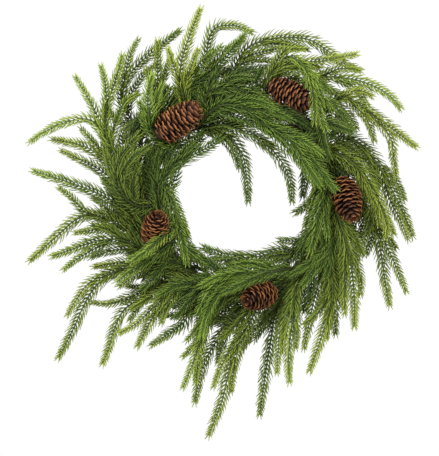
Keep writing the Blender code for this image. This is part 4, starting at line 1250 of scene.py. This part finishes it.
def buildVine(number, material):
    rng = np.random.default_rng(500 + number)
    rows, sides = bark["stations"], bark["sides"]
    theta = 2 * math.pi * np.arange(rows) / rows
    path = np.array([ringPoint(t, ring["helix"], vineAngle(t, number)) for t in theta])
    out = np.stack([np.sin(theta), 0 * theta, np.cos(theta)], -1)
    turn = vineAngle(theta, number)[:, None]
    away = out * np.cos(turn) + toFront * np.sin(turn)     # out of the twist
    tangent = unit(np.roll(path, -1, 0) - np.roll(path, 1, 0))
    away = unit(away - (away * tangent).sum(1, keepdims=True) * tangent)
    angle = 2 * math.pi * np.arange(sides) / sides
    wobble = np.ones((rows, sides))
    for swelling in range(bark["waves"]):
        k, m = rng.integers(1, 70), rng.integers(0, 7)
        size = bark["waveSize"] / (1 + 0.035 * k + 0.25 * m)
        wobble += size * np.sin(k * theta[:, None] + m * angle[None] + rng.uniform(0, 6.28))
    for ridges in bark["ridges"]:
        twist = 0.6 * np.sin(3 * theta + rng.uniform(0, 6)) + 0.25 * np.sin(11 * theta + rng.uniform(0, 6))
        wave = np.sin(ridges * angle[None] + 3 * twist[:, None] + rng.uniform(0, 6.28))
        wobble += bark["ridgeSize"] * wave
    # a knot is a low boss, some 8 mm across along the vine
    for knot in range(bark["knots"]):
        where, side = rng.uniform(0, 2 * math.pi), rng.uniform(0, 2 * math.pi)
        far = np.abs((theta[:, None] - where + math.pi) % (2 * math.pi) - math.pi) / 0.032
        near = np.abs((angle[None] - side + math.pi) % (2 * math.pi) - math.pi) / 0.9
        wobble += bark["knotSize"] * np.exp(-far ** 2 - near ** 2)
    wobble = np.minimum(wobble, bark["most"])
    around = stepsAround(away, np.cross(tangent, away), sides)
    points = path[:, None] + around * (ring["vineRadius"] * wobble)[:, :, None]
    faces, corners = gridFaces(rows + 1, sides)
    faces = faces % (rows * sides)
    # how far the bark stands out, which the bark colour uses for painted shade in its hollows
    ridge = np.clip((wobble - 0.86) / 0.3, 0, 1).ravel()
    shade = np.stack([ridge, 0 * ridge, np.full(len(ridge), 0.5)], -1)
    sheet = {"points": points.reshape(-1, 3), "shade": shade, "slot": 0, "faces": [(faces, corners)]}
    return makePiece(f"vine_{number + 1}_bark", [sheet], [material], f"vine_{number + 1}")


scaleLook = {
    "count": 90,
    "core": 8.0,             # mm, radius of the woody core
    "width": 16.0,           # mm, the widest scale
    "thickness": 1.25,
    "rows": (0.0, 0.34, 0.62, 0.80, 0.92, 1.0),
    "columns": 7,
    "roots": (0.05, 0.81),   # share of the cone below the first root, and taken by all of them
    "bend": (0.72, 0.24),    # where the middle line bends: share of the way out and up
    "turn": 137.508,         # degrees from one scale to the next
    "claw": 0.24,            # width of a root, share of the widest
    "shoulder": 0.76,        # share of the way out where a scale is widest
    "lip": 0.250,            # share over which it rounds off
    "cup": 1.4,              # mm by which a scale is hollow
    "shadeRange": 0.38,      # how much the scales of a cone differ in shade
    # along the cone: how far out, how steep and how wide the scales are
    "place": (0.0, 0.06, 0.20, 0.40, 0.60, 0.76, 0.87, 0.94, 1.0),
    "reach": (0.50, 0.80, 1.0, 1.0, 0.97, 0.88, 0.72, 0.52, 0.20),
    "rise": (0.01, 0.03, 0.055, 0.07, 0.085, 0.115, 0.16, 0.19, 0.15),
    "broad": (0.62, 0.80, 1.0, 1.0, 0.98, 0.94, 0.84, 0.72, 0.50),
}


def scaleFaces(rows, columns, index):
    # the two skins of a scale and the rim that joins them, with their corner maps
    u0, v0, wide = 0.004 + index % 11 * 0.09, 0.004 + index // 11 * 0.09, 0.085
    facesTop, cornersTop = gridFaces(rows, columns, (u0, v0, u0 + wide, v0 + wide * 0.42), False)
    lowBox = (u0, v0 + wide * 0.5, u0 + wide, v0 + wide * 0.92)
    facesLow, cornersLow = gridFaces(rows, columns, lowBox, False)
    under = rows * columns
    facesLow, cornersLow = facesLow[:, ::-1] + under, cornersLow[:, ::-1]
    # the rim runs along both sides and both ends
    r, c = np.arange(rows - 1), np.arange(columns - 1)
    left, right, top = r * columns, r * columns + columns - 1, (rows - 1) * columns
    rim = np.vstack([np.stack([left, left + columns, left + columns + under, left + under], -1),
                     np.stack([right + columns, right, right + under, right + columns + under], -1),
                     np.stack([c + 1, c, c + under, c + 1 + under], -1),
                     np.stack([top + c, top + c + 1, top + c + 1 + under, top + c + under], -1)])
    rimRow = (rim % under) // columns
    rimUv = np.stack([u0 + wide * rimRow / (rows - 1), np.full(rimRow.shape, v0 + wide * 0.46)], -1)
    return [(facesTop, cornersTop), (facesLow, cornersLow), (rim, rimUv)]


def coneScale(shape, side, other, index, pale, rng):
    # one open scale: a narrow claw at the core, a broad rounded lip at its end
    foot, axis, length, widest = shape
    f = index / (scaleLook["count"] - 1)
    reach, rise, broad = (np.interp(f, scaleLook["place"], scaleLook[key])
                          for key in ("reach", "rise", "broad"))
    rootHeight = length * (scaleLook["roots"][0] + scaleLook["roots"][1] * f)
    tipHeight = rootHeight + length * (rise + rng.normal(0, 0.010))
    tipRadius = widest * reach * (1.0 - 0.09 * rng.random())
    turn = index * math.radians(scaleLook["turn"]) + rng.normal(0, 0.09)
    width = scaleLook["width"] * broad * widest / cone["radius"] / 2
    u = np.array(scaleLook["rows"])
    v = np.linspace(-1, 1, scaleLook["columns"])
    # the middle line bends from the core outwards and up
    out, up = scaleLook["bend"]
    bendRadius, bendHeight = tipRadius * out, rootHeight + (tipHeight - rootHeight) * up
    rootRadius = min(scaleLook["core"], tipRadius) * 0.5
    radial, height = ((1 - u) ** 2 * root + 2 * u * (1 - u) * bend + u ** 2 * tip
                      for root, bend, tip in ((rootRadius, bendRadius, tipRadius),
                                              (rootHeight, bendHeight, tipHeight)))
    # it widens from the claw to its shoulder, then rounds off
    claw, shoulder = scaleLook["claw"], scaleLook["shoulder"]
    widening = claw + (1 - claw) * np.sin(np.clip(u / shoulder, 0, 1) * math.pi / 2) ** 1.5
    rounding = np.sqrt(np.clip(1 - ((u - shoulder) / scaleLook["lip"]) ** 2, 0.0, 1))
    half = width * np.where(u < shoulder, widening, rounding)
    across = half[:, None] * v[None]
    spin = turn + across / np.maximum(radial, 8.0)[:, None]
    cup = scaleLook["cup"] * (v[None] ** 2) * np.sin(u * math.pi * 0.62)[:, None] * (width / 8.0)
    thick = scaleLook["thickness"] * np.interp(u, (0, 0.5, 0.86, 1), (0.6, 0.8, 1.4, 1.0))
    thick = thick[:, None] * (1 - 0.5 * v[None] ** 2) * np.interp(f, (0, 0.7, 1), (1, 0.95, 0.7))
    slope = np.stack([np.gradient(radial, u), np.gradient(height, u)], -1)
    slope = slope / np.linalg.norm(slope, axis=-1, keepdims=True)
    inward = np.stack([-slope[:, 1], slope[:, 0]], -1)                   # inner face of the scale
    skins = []
    for outward in (0.5, -0.5):
        lift = cup + thick * outward
        r = radial[:, None] + inward[:, :1] * lift
        h = height[:, None] + inward[:, 1:] * lift
        points = (foot + h[..., None] * axis
                  + r[..., None] * (np.cos(spin)[..., None] * side + np.sin(spin)[..., None] * other))
        skins.append(points.reshape(-1, 3))
    # darker in the middle, paler at its two edges
    edge = np.tile(np.abs(v), len(u))
    alongTone = np.clip(np.repeat(u, len(v)) + 0.06 * (edge > 0.9) - 0.03 * (1 - edge), 0, 1)
    own = np.clip(pale + rng.uniform(-1, 1) * scaleLook["shadeRange"], 0, 1)
    shadeTop = np.stack([alongTone, 0 * alongTone, np.full(len(alongTone), own)], -1)
    shadeLow = shadeTop.copy()
    shadeLow[:, 1] = 1.0
    return {"points": np.vstack(skins), "shade": np.vstack([shadeTop, shadeLow]), "slot": 0,
            "faces": scaleFaces(len(u), len(v), index)}


def buildCone(name, seed, material):
    rng = np.random.default_rng(seed)
    shape = coneShapes()[name]
    foot, axis, length = shape[:3]
    side = unit(np.cross(axis, np.array([0.3, 0.2, 1.0])))
    other = np.cross(axis, side)
    share = np.linspace(0.0, 0.90, 14)
    core = foot + share[:, None] * axis * length
    coreRadii = scaleLook["core"] * np.interp(share, (0, 0.06, 0.6, 1), (0.75, 1.2, 1.0, 0.3))
    heart = tubeSheet(core, coreRadii, 10, 0, (0.0, 0.965, 1.0, 0.995))
    heart["shade"] = np.full((len(heart["points"]), 3), 0.5)
    pale = coneLook[name][4]
    scales = [coneScale(shape, side, other, i, pale, rng) for i in range(scaleLook["count"])]
    return makePiece(name + "_scales", [heart] + scales, [material], name)


def buildWire(name, twig, material):
    # its last points follow the foot of the cone
    right, up = coneLook[name[:-len("_wire")]][3]
    n = len(twig["points"])
    share = np.clip(np.arange(n)[:, None] - n + 3, 0, 2)
    path = smoothPath(twig["points"] + share * np.array([right, 0.0, up]) / 2, 1.5)
    sheet = tubeSheet(path, np.full(len(path), twig["radii"][0]), 10, 0)
    return makePiece(name + "_run", [sheet], [material], name)


twigs = settleTwigs(planTwigs())
print("twigs settled:", len(twigs))
vineBark = vineMaterial()
for number in range(ring["vines"]):
    buildVine(number, vineBark)
print("vine ring made")

sprigParts = planParts(twigs)
addFillers(sprigParts)
greens = [needleMaterial(), twigMaterial()]
for order, name in enumerate(sprigPlan):
    buildSprig(name, sprigParts[name], greens, 200 + order)
print("sprigs made:", len(sprigPlan))

scaleBrown, wireGreen = coneMaterial(), wireMaterial()
for order, name in enumerate(conePlan):
    buildCone(name, 900 + order, scaleBrown)
    buildWire(name + "_wire", next(t for t in twigs if t["node"] == name + "_wire"), wireGreen)
print("cones and wires made")

# Room: a small pale floor under the hanging wreath, soft white light all round
room = {
    "floorDrop": 0.075,        # below the lowest tip
    "floorRadius": 0.42,
    "floorColour": (0.80, 0.80, 0.79, 1),
    "white": 1.0,              # the white seen behind the wreath
    "fill": 0.75,              # the light from all round
    # each lamp's place, size and power
    "lamps": {
        "key": ((-0.9, -1.7, 0.9), 1.1, 26.0),
        "sideFill": ((1.5, -1.2, 0.1), 1.2, 9.0),
        "topSoft": ((0.0, 0.2, 1.5), 1.2, 10.0),
    },
}
view = {
    "aim": (-0.0315, -0.0434),     # m to the right of the ring's centre and above it
    "distance": 4.0,
    "height": 0.6384,          # m seen from top to bottom at the wreath
    "sensor": 36.0,
}


def buildFloor():
    mesh = bpy.data.meshes.new("pale_floor")
    steps = 96
    angles = [2 * math.pi * i / steps for i in range(steps)]
    edge = [(room["floorRadius"] * math.cos(a), room["floorRadius"] * math.sin(a)) for a in angles]
    top = cadLow.z - room["floorDrop"]
    mesh.from_pydata([(x, y, top) for x, y in edge] + [(x, y, top - 0.012) for x, y in edge],
                     [], [tuple(range(steps)), tuple(reversed(range(steps, 2 * steps)))]
                     + [(i, i + steps, (i + 1) % steps + steps, (i + 1) % steps) for i in range(steps)])
    material, tree, shader = newMaterial("paleFloor", 0.85)
    shader.inputs["Base Color"].default_value = room["floorColour"]
    mesh.materials.append(material)
    floor = addObject("pale_floor", mesh)


def addLight(name, place, aim, size, power):
    data = bpy.data.lights.new(name, "AREA")
    data.energy = power
    data.size = size
    lamp = addObject(name, data)
    lamp.location = place
    lamp.rotation_euler = (Vector(aim) - Vector(place)).to_track_quat("-Z", "Y").to_euler()


def setWorld():
    world = bpy.data.worlds.new("whiteStudio")
    bpy.context.scene.world = world
    world.use_nodes = True
    tree = world.node_tree
    tree.nodes.clear()
    seen = addNode(tree, "ShaderNodeBackground", {"Color": (1, 1, 1, 1), "Strength": room["white"]})
    soft = addNode(tree, "ShaderNodeBackground", {"Color": (1, 1, 1, 1), "Strength": room["fill"]})
    ray = addNode(tree, "ShaderNodeLightPath")
    mix = addNode(tree, "ShaderNodeMixShader", {0: ray.outputs["Is Camera Ray"], 1: soft.outputs[0],
                                                2: seen.outputs[0]})
    out = addNode(tree, "ShaderNodeOutputWorld")
    tree.links.new(mix.outputs[0], out.inputs["Surface"])


def setCamera():
    data = bpy.data.cameras.new("camera")
    data.sensor_width = view["sensor"]
    data.lens = view["sensor"] * view["distance"] / view["height"]
    camera = addObject("camera", data)
    right, up = view["aim"]
    camera.location = Vector((right, 0.0, ringCentre.z + up)) + Vector((0.0, -view["distance"], 0.0))
    camera.rotation_euler = (math.pi / 2, 0.0, 0.0)
    bpy.context.scene.camera = camera


buildFloor()
setWorld()
middle = (0.0, -0.02, ringCentre.z)
for name, (place, size, power) in room["lamps"].items():
    addLight(name, place, middle, size, power)
setCamera()
bpy.context.scene.view_settings.view_transform = "Standard"
print("room made")

triangles = sum(len(p.data.loops) - 2 * len(p.data.polygons) for p in bpy.data.objects if p.type == "MESH")
print("triangles in all:", triangles)
